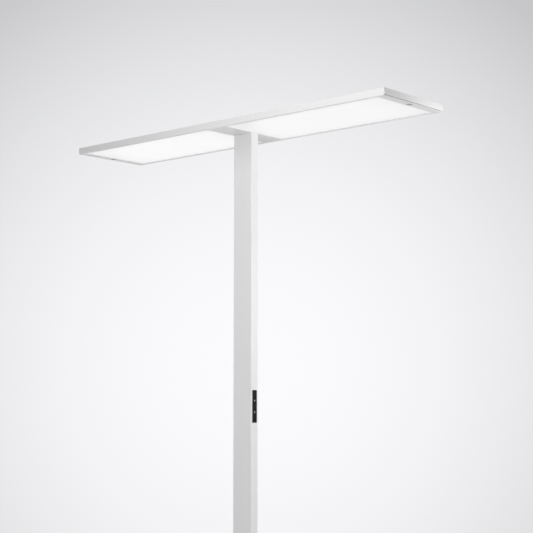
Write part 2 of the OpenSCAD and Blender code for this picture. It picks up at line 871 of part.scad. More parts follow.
module column_screw_places() {
    for (sx = [-1, 1], sy = [-1, 1])
        translate([sx * port_offset, sy * port_y, beam_floor_top]) children();
}

module column_screw_holes() {
    column_screw_places() translate([0, 0, -beam_floor - lip_thickness - 1])
        cylinder(d = port_bore_diameter + 2 * screw_gap, h = beam_floor + lip_thickness + 2);
    translate([0, 0, head_bottom - 1])
        cylinder(d = cable_hole_diameter, h = lip_thickness + beam_floor + 2);
}

module bridge_cover() {
    color(WHITE) difference() {
        box([-half_bridge, -lip_inside + fit_gap, head_bottom],
            [half_bridge, lip_inside - fit_gap, recess_level]);
        column_screw_holes();
    }
}

// Beam under the ribs, open at the top, with a slot for the wires in each wall's halves
module head_beam() {
    half_y = wall_inside - fit_gap;
    color(ALUMINIUM) difference() {
        box([-beam_half_width, -half_y, recess_level], [beam_half_width, half_y, rib_level]);
        box([-beam_half_width + beam_wall, -half_y + beam_end_length, beam_floor_top],
            [beam_half_width - beam_wall, half_y - beam_end_length, rib_level + 1]);
        for (sx = [-1, 1], sy = [-1, 1])
            translate([sx * beam_half_width, sy * wire_y, tray_top + 5])
                cube([4 * beam_wall, 14, 10], center = true);
        column_screw_holes();
        rail_screw_places() translate([0, 0, -rib_thickness - 8])
            cylinder(r = m3_radius, h = 10);
    }
}

module beam_rail_screws() {
    color(STEEL) rail_screw_places()
        countersunk_screw(m3_radius - thread_gap, m3_head_radius, rib_thickness + 7);
}

module beam_column_screws() {
    length = beam_floor + lip_thickness + column_screw_reach;
    color(STEEL) column_screw_places() {
        cylinder(d = column_screw_head, h = screw_head_height);
        translate([0, 0, -length])
            cylinder(d = port_bore_diameter - 2 * thread_gap, h = length + 0.01);
    }
}

// Terminal block over the cable hole, between the heads of the column's screws
module head_terminal() {
    width = 2 * port_offset - column_screw_head - 2;
    length = 2 * cable_hole_diameter + 4;
    color(MODULE) difference() {
        translate([-width / 2, -length / 2, beam_floor_top])
            cube([width, length, terminal_height]);
        for (sx = [-1, 1], k = [-1.5:1:1.5])
            translate([sx * width / 4, k * length / 4, beam_floor_top + terminal_height - 3])
                cylinder(d = length / 8, h = 4);
    }
}

// ---------------------------------------------------------------- light panels

// Flat plate that fills one side of the head, between two levels
module panel_plate(side, low, high, half_y = panel_half_width) {
    on_side(side) box([panel_inner_end, -half_y, low], [panel_outer_end, half_y, high]);
}

module left_diffuser() { color(OPAL) panel_plate(-1, recess_level, guide_level); }
module right_diffuser() { color(OPAL) panel_plate(1, recess_level, guide_level); }
module left_light_guide() { color(OPAL) panel_plate(-1, guide_level, reflector_level); }
module right_light_guide() { color(OPAL) panel_plate(1, guide_level, reflector_level); }
module left_reflector() { color(WHITE) panel_plate(-1, reflector_level, tray_level); }
module right_reflector() { color(WHITE) panel_plate(1, reflector_level, tray_level); }

// Tray behind the reflector; its flanges reach up to the ribs and hold the stack down
module back_tray(side) {
    flange_y = wall_inside - rib_width + 1;
    color(ALUMINIUM) {
        panel_plate(side, tray_level, tray_top);
        for (sy = [0, 1]) on_side(side) mirror([0, sy, 0])
            box([panel_inner_end + tray_flange_inset, flange_y, tray_top - 0.01],
                [panel_outer_end - tray_flange_inset, flange_y + tray_thickness, rib_level]);
    }
}

module left_back_tray() { back_tray(-1); }
module right_back_tray() { back_tray(1); }

// Two boards with a row of LEDs each, that light one side's light guide from its long edges
module edge_led_boards(side) {
    low = edge_board_low;
    inner = board_inner_end;
    outer = panel_outer_end - 5;
    count = floor((outer - inner) / led_pitch);
    first = (inner + outer - (count - 1) * led_pitch) / 2;
    color(BOARD) on_side(side) for (sy = [0, 1]) mirror([0, sy, 0]) {
        box([inner, wall_inside - edge_board_thickness, low],
            [outer, wall_inside, low + edge_board_height]);
        for (k = [0:count - 1])
            translate([first + k * led_pitch,
                       wall_inside - edge_board_thickness - led_height / 2,
                       low + edge_board_height / 2])
                cube([led_size, led_height + 0.02, led_size], center = true);
    }
}

module left_edge_led_boards() { edge_led_boards(-1); }
module right_edge_led_boards() { edge_led_boards(1); }

module uplight_board(side) {
    count = floor(window_length / led_pitch);
    first = window_start + (window_length - (count - 1) * led_pitch) / 2;
    top = tray_top + uplight_board_thickness;
    color(BOARD) on_side(side) {
        box([window_start, -uplight_board_width / 2, tray_top],
            [window_start + window_length, uplight_board_width / 2, top]);
        for (k = [0:count - 1])
            translate([first + k * led_pitch, 0, top + led_height / 2 - 0.01])
                cube([led_size, led_size, led_height], center = true);
    }
}

module left_uplight_board() { uplight_board(-1); }
module right_uplight_board() { uplight_board(1); }

// ---------------------------------------------------------------- top of the head

module window_opening(gap) {
    box([window_start - gap, -window_width / 2 - gap, cover_level - 1],
        [window_start + window_length + gap, window_width / 2 + gap, head_top + 1]);
}

module top_cover() {
    half_x = rail_length / 2 - fit_gap;
    half_y = wall_inside - fit_gap;
    color(WHITE) difference() {
        box([-half_x, -half_y, cover_level], [half_x, half_y, head_top]);
        for (side = [-1, 1]) on_side(side) window_opening(fit_gap);
        cover_screw_places() countersunk_hole(
            m3_radius, m3_head_radius, cover_thickness + 1, thread_gap);
    }
}

module uplight_window(side) {
    f = window_flange;
    color(OPAL) on_side(side) {
        box([window_start, -window_width / 2, cover_level],
            [window_start + window_length, window_width / 2, head_top]);
        box([window_start - f, -window_width / 2 - f, rib_level],
            [window_start + window_length + f, window_width / 2 + f, cover_level]);
    }
}

module left_uplight_window() { uplight_window(-1); }
module right_uplight_window() { uplight_window(1); }

module cover_screws() {
    color(STEEL) cover_screw_places() countersunk_screw(
        m3_radius - thread_gap, m3_head_radius, cover_thickness + rib_thickness + 1);
}

// ---------------------------------------------------------------- sensors

module sensor(side) {
    color(BLACK) on_side(side)
        box([lens_x - sensor_length / 2, -sensor_width / 2, strip_top],
            [lens_x + sensor_length / 2, sensor_width / 2, rib_level - 3]);
}

module left_sensor() { sensor(-1); }
module right_sensor() { sensor(1); }

// Shallow dome, cut from a sphere, on a round foot with a flange
module sensor_lens(side) {
    radius = lens_diameter / 2;
    ball = (radius * radius + lens_drop * lens_drop) / (2 * lens_drop);
    color(LENS) on_side(side) translate([lens_x, 0, 0]) {
        translate([0, 0, head_bottom]) cylinder(r = radius, h = lip_thickness + 0.01);
        translate([0, 0, recess_level])
            cylinder(d = lens_flange_diameter, h = lens_seat - fit_gap / 2);
        intersection() {
            translate([0, 0, head_bottom - lens_drop + ball]) sphere(r = ball);
            translate([0, 0, head_bottom - 2 * lens_drop])
                cylinder(r = radius, h = 2 * lens_drop + 0.01);
        }
    }
}

module left_sensor_lens() { sensor_lens(-1); }
module right_sensor_lens() { sensor_lens(1); }

// ---------------------------------------------------------------- wires in the head

// From the terminal's long end through the beam's slot and along the tray to the sensor
module sensor_wire() {
    z = sensor_wire_z;
    start_y = cable_hole_diameter + 2;
    sensor_back = lens_x - sensor_length / 2;
    tube([
        [4, start_y, beam_floor_top + 4], [4, start_y + 6, beam_floor_top + 4],
        [10, wire_y - 14, z], [beam_half_width - beam_wall, wire_y - 1, z],
        [beam_half_width + 6, wire_y, z], [panel_inner_end + sensor_wire_lead, wire_y, z],
        [window_start + window_length * 0.5, wire_y, z],
        [window_start + window_length, wire_y, z],
        [panel_outer_end - sensor_wire_turn, wire_y - 14, z],
        [panel_outer_end - sensor_wire_return, 16, z],
        [sensor_back - 6, 6, z], [sensor_back, 6, z]], sensor_wire_diameter, 3);
}

// From the terminal to the inner end of the board under the window
module uplight_wire() {
    z = board_wire_z;
    start_y = cable_hole_diameter + 2;
    tube([
        [8, start_y, beam_floor_top + 4], [8, start_y + 6, beam_floor_top + 4],
        [14, wire_y - 14, z], [beam_half_width - beam_wall, wire_y - 5, z],
        [beam_half_width + board_wire_step, wire_y - board_wire_step, z],
        [panel_inner_end + board_wire_lead, wire_y - board_wire_lead, z],
        [window_start - 12, 12, z], [window_start - 5, 6, z], [window_start, 6, z]],
        board_wire_diameter, 3);
}

// From the terminal over the tray's edge to the end of an edge board
module edge_wire() {
    z = board_wire_z;
    start_y = cable_hole_diameter + 2;
    y = wall_inside - board_wire_diameter / 2 - 0.1;
    x = board_inner_end + 4;
    tube([
        [1.4, start_y, beam_floor_top + 4], [1.4, start_y + 6, beam_floor_top + 4],
        [5, wire_y - 14, z], [beam_half_width - beam_wall - 1, wire_y + 3.5, z],
        [beam_half_width + 4, wire_y + 6, z], [x, wire_y + 20, z],
        [x, panel_half_width - 8, z], [x, panel_half_width - 2, z + 0.4], [x, y, z],
        [x, y, edge_board_low + edge_board_height]], board_wire_diameter, 3);
}

module head_wires(side) {
    color(CABLE) on_side(side) {
        sensor_wire();
        uplight_wire();
        edge_wire();
        mirror([0, 1, 0]) edge_wire();
    }
}

module left_head_wires() { head_wires(-1); }
module right_head_wires() { head_wires(1); }

// ---------------------------------------------------------------- drawing

base_plate();
floor_pads();
base_bolts();
foot_block();
foot_screws();
column_profile();
cable_gland();
gland_nut();
driver_carrier();
mains_terminal();
led_driver();
driver_screws();
lighting_controller();
mains_wires();
driver_output_wires();
head_cable();
control_cable();
control_fascia();
control_housing();
control_board();
key_switches();
upper_key();
upper_key_mark();
upper_switch_plunger();
lower_key();
lower_key_mark();
lower_switch_plunger();
front_side_rail();
rear_side_rail();
left_end_cap();
right_end_cap();
left_end_strip();
right_end_strip();
bridge_cover();
head_beam();
beam_rail_screws();
beam_column_screws();
head_terminal();
left_diffuser();
right_diffuser();
left_light_guide();
right_light_guide();
left_reflector();
right_reflector();
left_back_tray();
right_back_tray();
left_edge_led_boards();
right_edge_led_boards();
left_uplight_board();
right_uplight_board();
top_cover();
left_uplight_window();
right_uplight_window();
cover_screws();
left_sensor();
right_sensor();
left_sensor_lens();
right_sensor_lens();
left_head_wires();
right_head_wires();
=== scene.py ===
"""Looks, light and camera of the office floor lamp.

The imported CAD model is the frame. Each sub-assembly is a class that softens the edges of its
own CAD nodes, builds the small pieces that only show up close, and dresses all of them in
procedural finishes. The studio holds the lamps, the pale floor, the backdrop and the camera
that matches the photograph. All lengths are in metres.
"""

import logging
import math
from dataclasses import dataclass, field
from enum import Enum
from typing import ClassVar

import bmesh
import bpy
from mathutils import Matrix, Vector


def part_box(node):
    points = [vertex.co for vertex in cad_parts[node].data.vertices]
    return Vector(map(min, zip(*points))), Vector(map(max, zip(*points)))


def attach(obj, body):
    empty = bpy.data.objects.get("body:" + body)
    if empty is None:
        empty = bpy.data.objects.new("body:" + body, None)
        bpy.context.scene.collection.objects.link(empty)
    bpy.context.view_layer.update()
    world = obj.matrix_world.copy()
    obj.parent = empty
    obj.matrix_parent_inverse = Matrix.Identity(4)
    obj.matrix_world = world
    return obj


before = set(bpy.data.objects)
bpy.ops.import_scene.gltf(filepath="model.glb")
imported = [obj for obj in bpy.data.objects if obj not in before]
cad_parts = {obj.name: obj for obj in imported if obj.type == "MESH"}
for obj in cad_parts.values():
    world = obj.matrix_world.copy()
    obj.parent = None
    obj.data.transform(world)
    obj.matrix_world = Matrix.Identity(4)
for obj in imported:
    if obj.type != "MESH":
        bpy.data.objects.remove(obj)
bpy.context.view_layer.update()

LOG = logging.getLogger("office_floor_lamp")

Colour = tuple[float, float, float]
Point = tuple[float, float, float]
Span = tuple[float, float]
Socket = bpy.types.NodeSocket
Sockets = dict[str, Socket]
Value = float | tuple[float, ...] | Socket

# A display shows a linear value as a tone from 0 to 255, by this curve.
TONES = 255.0
TONE_OFFSET = 0.055
TONE_POWER = 2.4


class Axis(Enum):
    """Row axis along which a surface was milled, brushed or drawn."""

    X = 0
    Y = 1
    Z = 2


class Kind(Enum):
    """Kind of value that a node group takes in or puts out."""

    NUMBER = "NodeSocketFloat"
    VECTOR = "NodeSocketVector"
    COLOUR = "NodeSocketColor"


def linear(grey: float) -> float:
    """Turns a tone from 11 to 255, as a display shows it, into a linear value."""
    return ((grey / TONES + TONE_OFFSET) / (1.0 + TONE_OFFSET)) ** TONE_POWER


def tinted(grey: float, warmth: float = 0.0) -> Colour:
    """Makes the linear colour of a grey tone, with red raised and blue lowered by warmth."""
    return (linear(grey + warmth), linear(grey), linear(grey - warmth))


# ---------------------------------------------------------------- node graphs


class Graph:
    """Adds nodes to a node tree, joins them and lays them out in the order they are made."""

    COLUMNS = 7
    COLUMN_WIDTH = 220
    ROW_HEIGHT = 260

    def __init__(self, tree: bpy.types.NodeTree) -> None:
        """Opens the tree that the nodes go into."""
        self.tree = tree

    def node(self, kind: str, *operands: Value, named: dict[str, Value] | None = None,
             **settings: object) -> bpy.types.Node:
        """Adds one node and feeds its inputs.

        Args:
            kind: Blender's name of the node type.
            *operands: What goes to the first inputs, in order.
            named: What goes to inputs by name, with _ for a space.
            **settings: Attributes to set on the node.

        Returns:
            The node.
        """
        made = self.tree.nodes.new(kind)
        row, column = divmod(len(self.tree.nodes) - 1, self.COLUMNS)
        made.location = (self.COLUMN_WIDTH * column, -self.ROW_HEIGHT * row)
        for key, value in settings.items():
            setattr(made, key, value)
        for socket, value in zip(made.inputs, operands):
            self.feed(socket, value)
        for key, value in (named or {}).items():
            self.feed(made.inputs[key.replace("_", " ")], value)
        return made

    def feed(self, socket: Socket, value: Value) -> None:
        """Sets an input to a constant, or links it to another node's output.

        Args:
            socket: The input.
            value: A constant or an output.
        """
        if isinstance(value, Socket):
            self.tree.links.new(value, socket)
        elif isinstance(value, tuple) and socket.type == "RGBA":
            socket.default_value = (*value, 1.0)
        else:
            socket.default_value = value

    def math(self, operation: str, *operands: Value, clamp: bool = False) -> Socket:
        """Adds a Math node, whose result is kept between 0 and 1 if clamp is set."""
        made = self.node("ShaderNodeMath", *operands, operation=operation, use_clamp=clamp)
        return made.outputs[0]

    def vector(self, operation: str, *operands: Value, output: str = "Vector") -> Socket:
        """Adds a Vector Math node and gives the output of that name."""
        made = self.node("ShaderNodeVectorMath", *operands, operation=operation)
        return made.outputs[output]

    def measure(self, operation: str, *operands: Value) -> Socket:
        """Adds a Vector Math node that gives a value, such as a length."""
        return self.vector(operation, *operands, output="Value")

    def scaled(self, colour: Value, factor: Value) -> Socket:
        """Multiplies a colour by a value."""
        inputs = {"Scale": factor}
        return self.node("ShaderNodeVectorMath", colour, named=inputs, operation="SCALE").outputs[0]

    def step(self, value: Value, start: Value, end: Value, low: Value = 0.0,
             high: Value = 1.0) -> Socket:
        """Maps a value with a smooth step: low before the start, high after the end."""
        made = self.node("ShaderNodeMapRange", value, start, end, low, high,
                         interpolation_type="SMOOTHSTEP")
        return made.outputs[0]

    def mix(self, factor: Value, first: Value, second: Value) -> Socket:
        """Mixes two colours.

        Args:
            factor: 0 gives the first colour, 1 the second.
            first: The first colour.
            second: The second colour.

        Returns:
            The colour.
        """
        made = self.node("ShaderNodeMix", factor, data_type="RGBA")
        # The node has sockets for every kind of data, and these are the ones for colours.
        self.feed(made.inputs[6], first)
        self.feed(made.inputs[7], second)
        return made.outputs[2]

    def place(self) -> Socket:
        """Gives the point on the surface, in the row frame."""
        return self.node("ShaderNodeTexCoord").outputs["Object"]

    def flat_place(self) -> Socket:
        """Gives the point on the surface with its height left out."""
        return self.vector("MULTIPLY", self.place(), (1.0, 1.0, 0.0))

    def noise(self, vector: Value, scale: Value, detail: float = 2.0) -> Socket:
        """Adds a noise texture of about 0.5 on average, with scale in cells per metre."""
        inputs = {"Vector": vector, "Scale": scale, "Detail": detail}
        return self.node("ShaderNodeTexNoise", named=inputs).outputs[0]

    def cells(self, vector: Value, scale: Value, distance: str, random: float) -> Socket:
        """Adds a cell texture, an even grid where random is 0, and gives the distance in it."""
        inputs = {"Vector": vector, "Scale": scale, "Randomness": random}
        return self.node("ShaderNodeTexVoronoi", named=inputs, distance=distance).outputs[0]

    def bump(self, height: Value, distance: Value) -> Socket:
        """Adds a Bump node, where distance is what a height of 1 stands for."""
        inputs = {"Height": height, "Distance": distance}
        return self.node("ShaderNodeBump", named=inputs).outputs[0]


# ---------------------------------------------------------------- shared surface effects


@dataclass(frozen=True)
class Port:
    """A named input or output of a node group."""

    name: str
    kind: Kind = Kind.NUMBER


class Effect:
    """A shader effect, built once as a node group and placed in each material that needs it.

    A group puts out only values, colours, masks and normals. Shader nodes stay in the finishes.
    """

    name: ClassVar[str]
    takes: ClassVar[tuple[Port, ...]]
    gives: ClassVar[tuple[Port, ...]]

    def fill(self, graph: Graph, given: Sockets) -> Sockets:
        """Makes the nodes inside the group.

        Args:
            graph: The group's graph.
            given: The group's inputs by name.

        Returns:
            What goes to each output, by name.
        """
        raise NotImplementedError

    def tree(self) -> bpy.types.NodeTree:
        """Builds the group the first time that it is asked for.

        Returns:
            The group's tree.
        """
        if self.name not in bpy.data.node_groups:
            tree = bpy.data.node_groups.new(self.name, "ShaderNodeTree")
            for ports, side in ((self.takes, "INPUT"), (self.gives, "OUTPUT")):
                for port in ports:
                    tree.interface.new_socket(
                        port.name, in_out=side, socket_type=port.kind.value
                    )
            graph = Graph(tree)
            start = graph.node("NodeGroupInput")
            given = {port.name: start.outputs[port.name] for port in self.takes}
            results = self.fill(graph, given)
            end = graph.node("NodeGroupOutput")
            for port in self.gives:
                graph.feed(end.inputs[port.name], results[port.name])
        return bpy.data.node_groups[self.name]

    def put(self, graph: Graph, **values: Value) -> bpy.types.NodeOutputs:
        """Places the group in a material, with its inputs by name, and gives its outputs."""
        return graph.node("ShaderNodeGroup", named=values, node_tree=self.tree()).outputs


class SurfaceGrain(Effect):
    """Fine texture of a coat or a moulded surface, such as orange peel."""

    name = "surface_grain"
    takes = (Port("Cell"), Port("Height"))
    gives = (Port("Normal", Kind.VECTOR), Port("Value"))
    BROAD_SCALE = 0.23
    FINE_SHARE = 0.65

    def fill(self, graph: Graph, given: Sockets) -> Sockets:
        """See Effect.fill."""
        place = graph.place()
        scale = graph.math("DIVIDE", 1.0, given["Cell"])
        fine = graph.noise(place, scale, detail=1.5)
        broad = graph.noise(place, graph.math("MULTIPLY", scale, self.BROAD_SCALE), detail=1.0)
        rest = graph.math("MULTIPLY", broad, 1.0 - self.FINE_SHARE)
        height = graph.math("MULTIPLY_ADD", fine, self.FINE_SHARE, rest)
        return {"Normal": graph.bump(height, given["Height"]), "Value": height}


class EdgeWear(Effect):
    """Mask of rubbed outer edges, broken up along their length."""

    name = "edge_wear"
    takes = (Port("Radius"), Port("Amount"))
    gives = (Port("Mask"),)
    TURN = (0.995, 0.86)
    PATCHES = 60.0
    PATCH = (0.45, 0.62)

    def fill(self, graph: Graph, given: Sockets) -> Sockets:
        """See Effect.fill."""
        rounded = graph.node("ShaderNodeBevel", named={"Radius": given["Radius"]}, samples=4)
        flat = graph.node("ShaderNodeNewGeometry").outputs["Normal"]
        turn = graph.measure("DOT_PRODUCT", rounded.outputs[0], flat)
        patches = graph.noise(graph.place(), self.PATCHES, detail=4.0)
        rubbed = graph.math(
            "MULTIPLY", graph.step(turn, *self.TURN), graph.step(patches, *self.PATCH)
        )
        return {"Mask": graph.math("MULTIPLY", rubbed, given["Amount"], clamp=True)}


class SettledDust(Effect):
    """Mask of dust that settles on surfaces that face up."""

    name = "settled_dust"
    takes = (Port("Amount"),)
    gives = (Port("Mask"),)
    UP = (0.5, 0.95)
    CLOUDS = 9.0
    CLOUD = (0.35, 0.7)
    CLOUD_DEPTH = (0.15, 0.6)
    SPECKS = 900.0
    SPECK = (0.62, 0.72)
    SPECK_DEPTH = (0.0, 0.4)

    def fill(self, graph: Graph, given: Sockets) -> Sockets:
        """See Effect.fill."""
        normal = graph.node("ShaderNodeNewGeometry").outputs["Normal"]
        facing = graph.measure("DOT_PRODUCT", normal, (0.0, 0.0, 1.0))
        place = graph.place()
        clouds = graph.noise(place, self.CLOUDS, detail=5.0)
        specks = graph.noise(place, self.SPECKS, detail=1.0)
        depth = graph.math(
            "ADD",
            graph.step(clouds, *self.CLOUD, *self.CLOUD_DEPTH),
            graph.step(specks, *self.SPECK, *self.SPECK_DEPTH),
        )
        film = graph.math("MULTIPLY", graph.step(facing, *self.UP), depth)
        return {"Mask": graph.math("MULTIPLY", film, given["Amount"], clamp=True)}


class ToneDrift(Effect):
    """Broad, faint drift of a tone around 1."""

    name = "tone_drift"
    takes = (Port("Size"), Port("Amount"))
    gives = (Port("Factor"),)

    def fill(self, graph: Graph, given: Sockets) -> Sockets:
        """See Effect.fill."""
        wave = graph.noise(graph.place(), graph.math("DIVIDE", 1.0, given["Size"]), detail=3.0)
        offset = graph.math("SUBTRACT", wave, 0.5)
        return {"Factor": graph.math("MULTIPLY_ADD", offset, given["Amount"], 1.0)}


class HandMarks(Effect):
    """Mask of faint finger marks and wipe marks."""

    name = "hand_marks"
    takes = (Port("Size"), Port("Amount"))
    gives = (Port("Mask"),)
    STRETCH = (1.0, 1.0, 0.45)
    PATCH = (0.42, 0.68)
    RIDGE_SCALE = 14.0

    def fill(self, graph: Graph, given: Sockets) -> Sockets:
        """See Effect.fill."""
        place = graph.place()
        stretched = graph.vector("MULTIPLY", place, self.STRETCH)
        scale = graph.math("DIVIDE", 1.0, given["Size"])
        broad = graph.step(graph.noise(stretched, scale), *self.PATCH)
        ridges = graph.noise(place, graph.math("MULTIPLY", scale, self.RIDGE_SCALE), detail=1.0)
        marks = graph.math("MULTIPLY", broad, ridges)
        return {"Mask": graph.math("MULTIPLY", marks, given["Amount"], clamp=True)}


class PrismCells(Effect):
    """Rows of small square pyramids on the flat of a light panel."""

    name = "prism_cells"
    takes = (Port("Pitch"), Port("Height"))
    gives = (Port("Normal", Kind.VECTOR), Port("Seam"))
    SEAM = (0.4, 0.5)

    def fill(self, graph: Graph, given: Sockets) -> Sockets:
        """See Effect.fill."""
        scale = graph.math("DIVIDE", 1.0, given["Pitch"])
        distance = graph.cells(graph.flat_place(), scale, "CHEBYCHEV", 0.0)
        peak = graph.math("SUBTRACT", 0.5, distance)
        seam = graph.step(distance, *self.SEAM)
        return {"Normal": graph.bump(peak, given["Height"]), "Seam": seam}


class PanelGlow(Effect):
    """How evenly a light panel glows: a little less near its ends and long edges."""

    name = "panel_glow"
    takes = (Port("Start"), Port("End"), Port("Half Width"), Port("Start Loss"),
             Port("End Loss"), Port("Edge Loss"))
    gives = (Port("Factor"),)
    OUTER_FADE = 0.12
    INNER_FADE = 0.1
    EDGE_FADE = 0.035

    def fill(self, graph: Graph, given: Sockets) -> Sockets:
        """See Effect.fill."""
        split = graph.node("ShaderNodeSeparateXYZ", graph.vector("ABSOLUTE", graph.place()))
        along, across = split.outputs["X"], split.outputs["Y"]
        start, end, half = given["Start"], given["End"], given["Half Width"]
        outer = graph.step(along, graph.math("SUBTRACT", end, self.OUTER_FADE), end,
                           high=given["End Loss"])
        inner = graph.step(along, start, graph.math("ADD", start, self.INNER_FADE),
                           given["Start Loss"], 0.0)
        edge = graph.step(across, graph.math("SUBTRACT", half, self.EDGE_FADE), half,
                          high=given["Edge Loss"])
        loss = graph.math("ADD", graph.math("ADD", outer, inner), edge)
        return {"Factor": graph.math("SUBTRACT", 1.0, loss)}


class LensRings(Effect):
    """Fine circles round an upright axis, such as a sensor lens has."""

    name = "lens_rings"
    takes = (Port("Centre", Kind.VECTOR), Port("Pitch"), Port("Height"))
    gives = (Port("Normal", Kind.VECTOR), Port("Radius"))

    def fill(self, graph: Graph, given: Sockets) -> Sockets:
        """See Effect.fill."""
        offset = graph.vector("SUBTRACT", graph.place(), given["Centre"])
        radius = graph.measure("LENGTH", graph.vector("MULTIPLY", offset, (1.0, 1.0, 0.0)))
        groove = graph.math("PINGPONG", graph.math("DIVIDE", radius, given["Pitch"]), 0.5)
        return {"Normal": graph.bump(groove, given["Height"]), "Radius": radius}


class MetalLay(Effect):
    """Fine lines that a tool, brush or die leaves on metal."""

    name = "metal_lay"
    takes = (Port("Stretch", Kind.VECTOR), Port("Scale"), Port("Height"))
    gives = (Port("Value"), Port("Normal", Kind.VECTOR))

    def fill(self, graph: Graph, given: Sockets) -> Sockets:
        """See Effect.fill."""
        squeezed = graph.vector("MULTIPLY", graph.place(), given["Stretch"])
        lines = graph.noise(squeezed, given["Scale"], detail=3.0)
        return {"Value": lines, "Normal": graph.bump(lines, given["Height"])}


class CircuitTracks(Effect):
    """Masks of the copper tracks and the round pads of a circuit board."""

    name = "circuit_tracks"
    takes = (Port("Pitch"),)
    gives = (Port("Pads"), Port("Tracks"))
    PAD_SPREAD = 0.35
    PAD_EDGE = (0.2, 0.24)
    TRACK_SCALE = 0.8
    TRACK_BEND = 1.2
    TRACK_EDGE = (0.86, 0.9)

    def fill(self, graph: Graph, given: Sockets) -> Sockets:
        """See Effect.fill."""
        place = graph.place()
        scale = graph.math("DIVIDE", 1.0, given["Pitch"])
        cells = graph.cells(place, scale, "EUCLIDEAN", self.PAD_SPREAD)
        inputs = {
            "Vector": place,
            "Scale": graph.math("MULTIPLY", scale, self.TRACK_SCALE),
            "Distortion": self.TRACK_BEND,
        }
        bands = graph.node("ShaderNodeTexWave", named=inputs, bands_direction="DIAGONAL")
        return {
            "Pads": graph.step(cells, *self.PAD_EDGE, 1.0, 0.0),
            "Tracks": graph.step(bands.outputs["Fac"], *self.TRACK_EDGE),
        }


class BackdropGlow(Effect):
    """Pale round glow of the studio's backdrop, fixed in the room."""

    name = "backdrop_glow"
    takes = (Port("Forward", Kind.VECTOR), Port("Right", Kind.VECTOR), Port("Up", Kind.VECTOR),
             Port("Centre", Kind.VECTOR), Port("Reach"), Port("Tone"), Port("Fall"),
             Port("Steeper Fall"))
    gives = (Port("Color", Kind.COLOUR),)
    TINT = (0.9945, 0.9945, 1.0115)
    LEAST_AHEAD = 0.05
    LAST_REACH = 1.3

    def fill(self, graph: Graph, given: Sockets) -> Sockets:
        """See Effect.fill."""
        ray = graph.node("ShaderNodeTexCoord").outputs["Generated"]
        facing = graph.measure("DOT_PRODUCT", ray, given["Forward"])
        behind = graph.math("LESS_THAN", facing, self.LEAST_AHEAD)
        ahead = graph.math("MAXIMUM", facing, self.LEAST_AHEAD)
        offsets = [
            graph.math("DIVIDE", graph.measure("DOT_PRODUCT", ray, given[side]), ahead)
            for side in ("Right", "Up")
        ]
        spot = graph.node("ShaderNodeCombineXYZ", *offsets)
        away = graph.measure("DISTANCE", spot.outputs[0], given["Centre"])
        reach = graph.math("ADD", graph.math("DIVIDE", away, given["Reach"]),
                           graph.math("MULTIPLY", behind, self.LAST_REACH))
        reach = graph.math("MINIMUM", reach, self.LAST_REACH)
        steeper = graph.math("MULTIPLY_ADD", reach, given["Steeper Fall"], given["Fall"])
        fall = graph.math("MULTIPLY", graph.math("MULTIPLY", reach, reach), steeper)
        tone = graph.math("DIVIDE", graph.math("SUBTRACT", given["Tone"], fall), TONES)
        lifted = graph.math("DIVIDE", graph.math("ADD", tone, TONE_OFFSET), 1.0 + TONE_OFFSET)
        light = graph.math("POWER", lifted, TONE_POWER)
        return {"Color": graph.scaled(self.TINT, light)}


# ---------------------------------------------------------------- finishes


@dataclass(frozen=True)
class Finish:
    """A procedural material. Each kind of finish makes its own shader."""

    name: str

    def material(self) -> bpy.types.Material:
        """Gives the material, made when it is first needed.

        Returns:
            The material.
        """
        label = f"{self.name}_finish"
        if label not in bpy.data.materials:
            made = bpy.data.materials.new(label)
            made.use_nodes = True
            made.node_tree.nodes.clear()
            graph = Graph(made.node_tree)
            graph.node("ShaderNodeOutputMaterial", self.shade(graph))
        return bpy.data.materials[label]

    def shade(self, graph: Graph) -> Socket:
        """Makes the shader nodes.

        Args:
            graph: The material's graph.

        Returns:
            The shader.
        """
        raise NotImplementedError

    @staticmethod
    def principled(graph: Graph, **values: Value) -> Socket:
        """Adds a Principled BSDF, with its inputs by name and _ for a space."""
        return graph.node("ShaderNodeBsdfPrincipled", named=values).outputs[0]


@dataclass(frozen=True)
class PowderCoat(Finish):
    """Satin powder coat with orange peel, rubbed edges and a little dust on top."""

    colour: Colour = (0.80, 0.80, 0.80)
    roughness: float = 0.42
    cell: float = 0.0011
    height: float = 0.000012
    wear: float = 0.25
    rubbed_share: float = 0.86
    dust: float = 0.06
    dust_colour: Colour = tinted(196, 2.0)
    grain_rough: float = 0.06
    wipe_rough: float = 0.12
    dust_rough: float = 0.4

    def shade(self, graph: Graph) -> Socket:
        """See Finish.shade."""
        grain = SurfaceGrain().put(graph, Cell=self.cell, Height=self.height)
        drift = ToneDrift().put(graph, Size=0.25, Amount=0.012)["Factor"]
        worn = EdgeWear().put(graph, Radius=0.0007, Amount=self.wear)["Mask"]
        dust = SettledDust().put(graph, Amount=self.dust)["Mask"]
        wipes = HandMarks().put(graph, Size=0.12, Amount=0.35)["Mask"]
        rubbed = tuple(self.rubbed_share * part for part in self.colour)
        clean = graph.mix(worn, graph.scaled(self.colour, drift), rubbed)
        rough = self.roughness - self.grain_rough / 2
        for mask, gain in ((grain["Value"], self.grain_rough), (wipes, self.wipe_rough),
                           (dust, self.dust_rough)):
            rough = graph.math("MULTIPLY_ADD", mask, gain, rough, clamp=True)
        return self.principled(
            graph,
            Base_Color=graph.mix(dust, clean, self.dust_colour),
            Roughness=rough,
            IOR=1.5,
            Normal=grain["Normal"],
        )


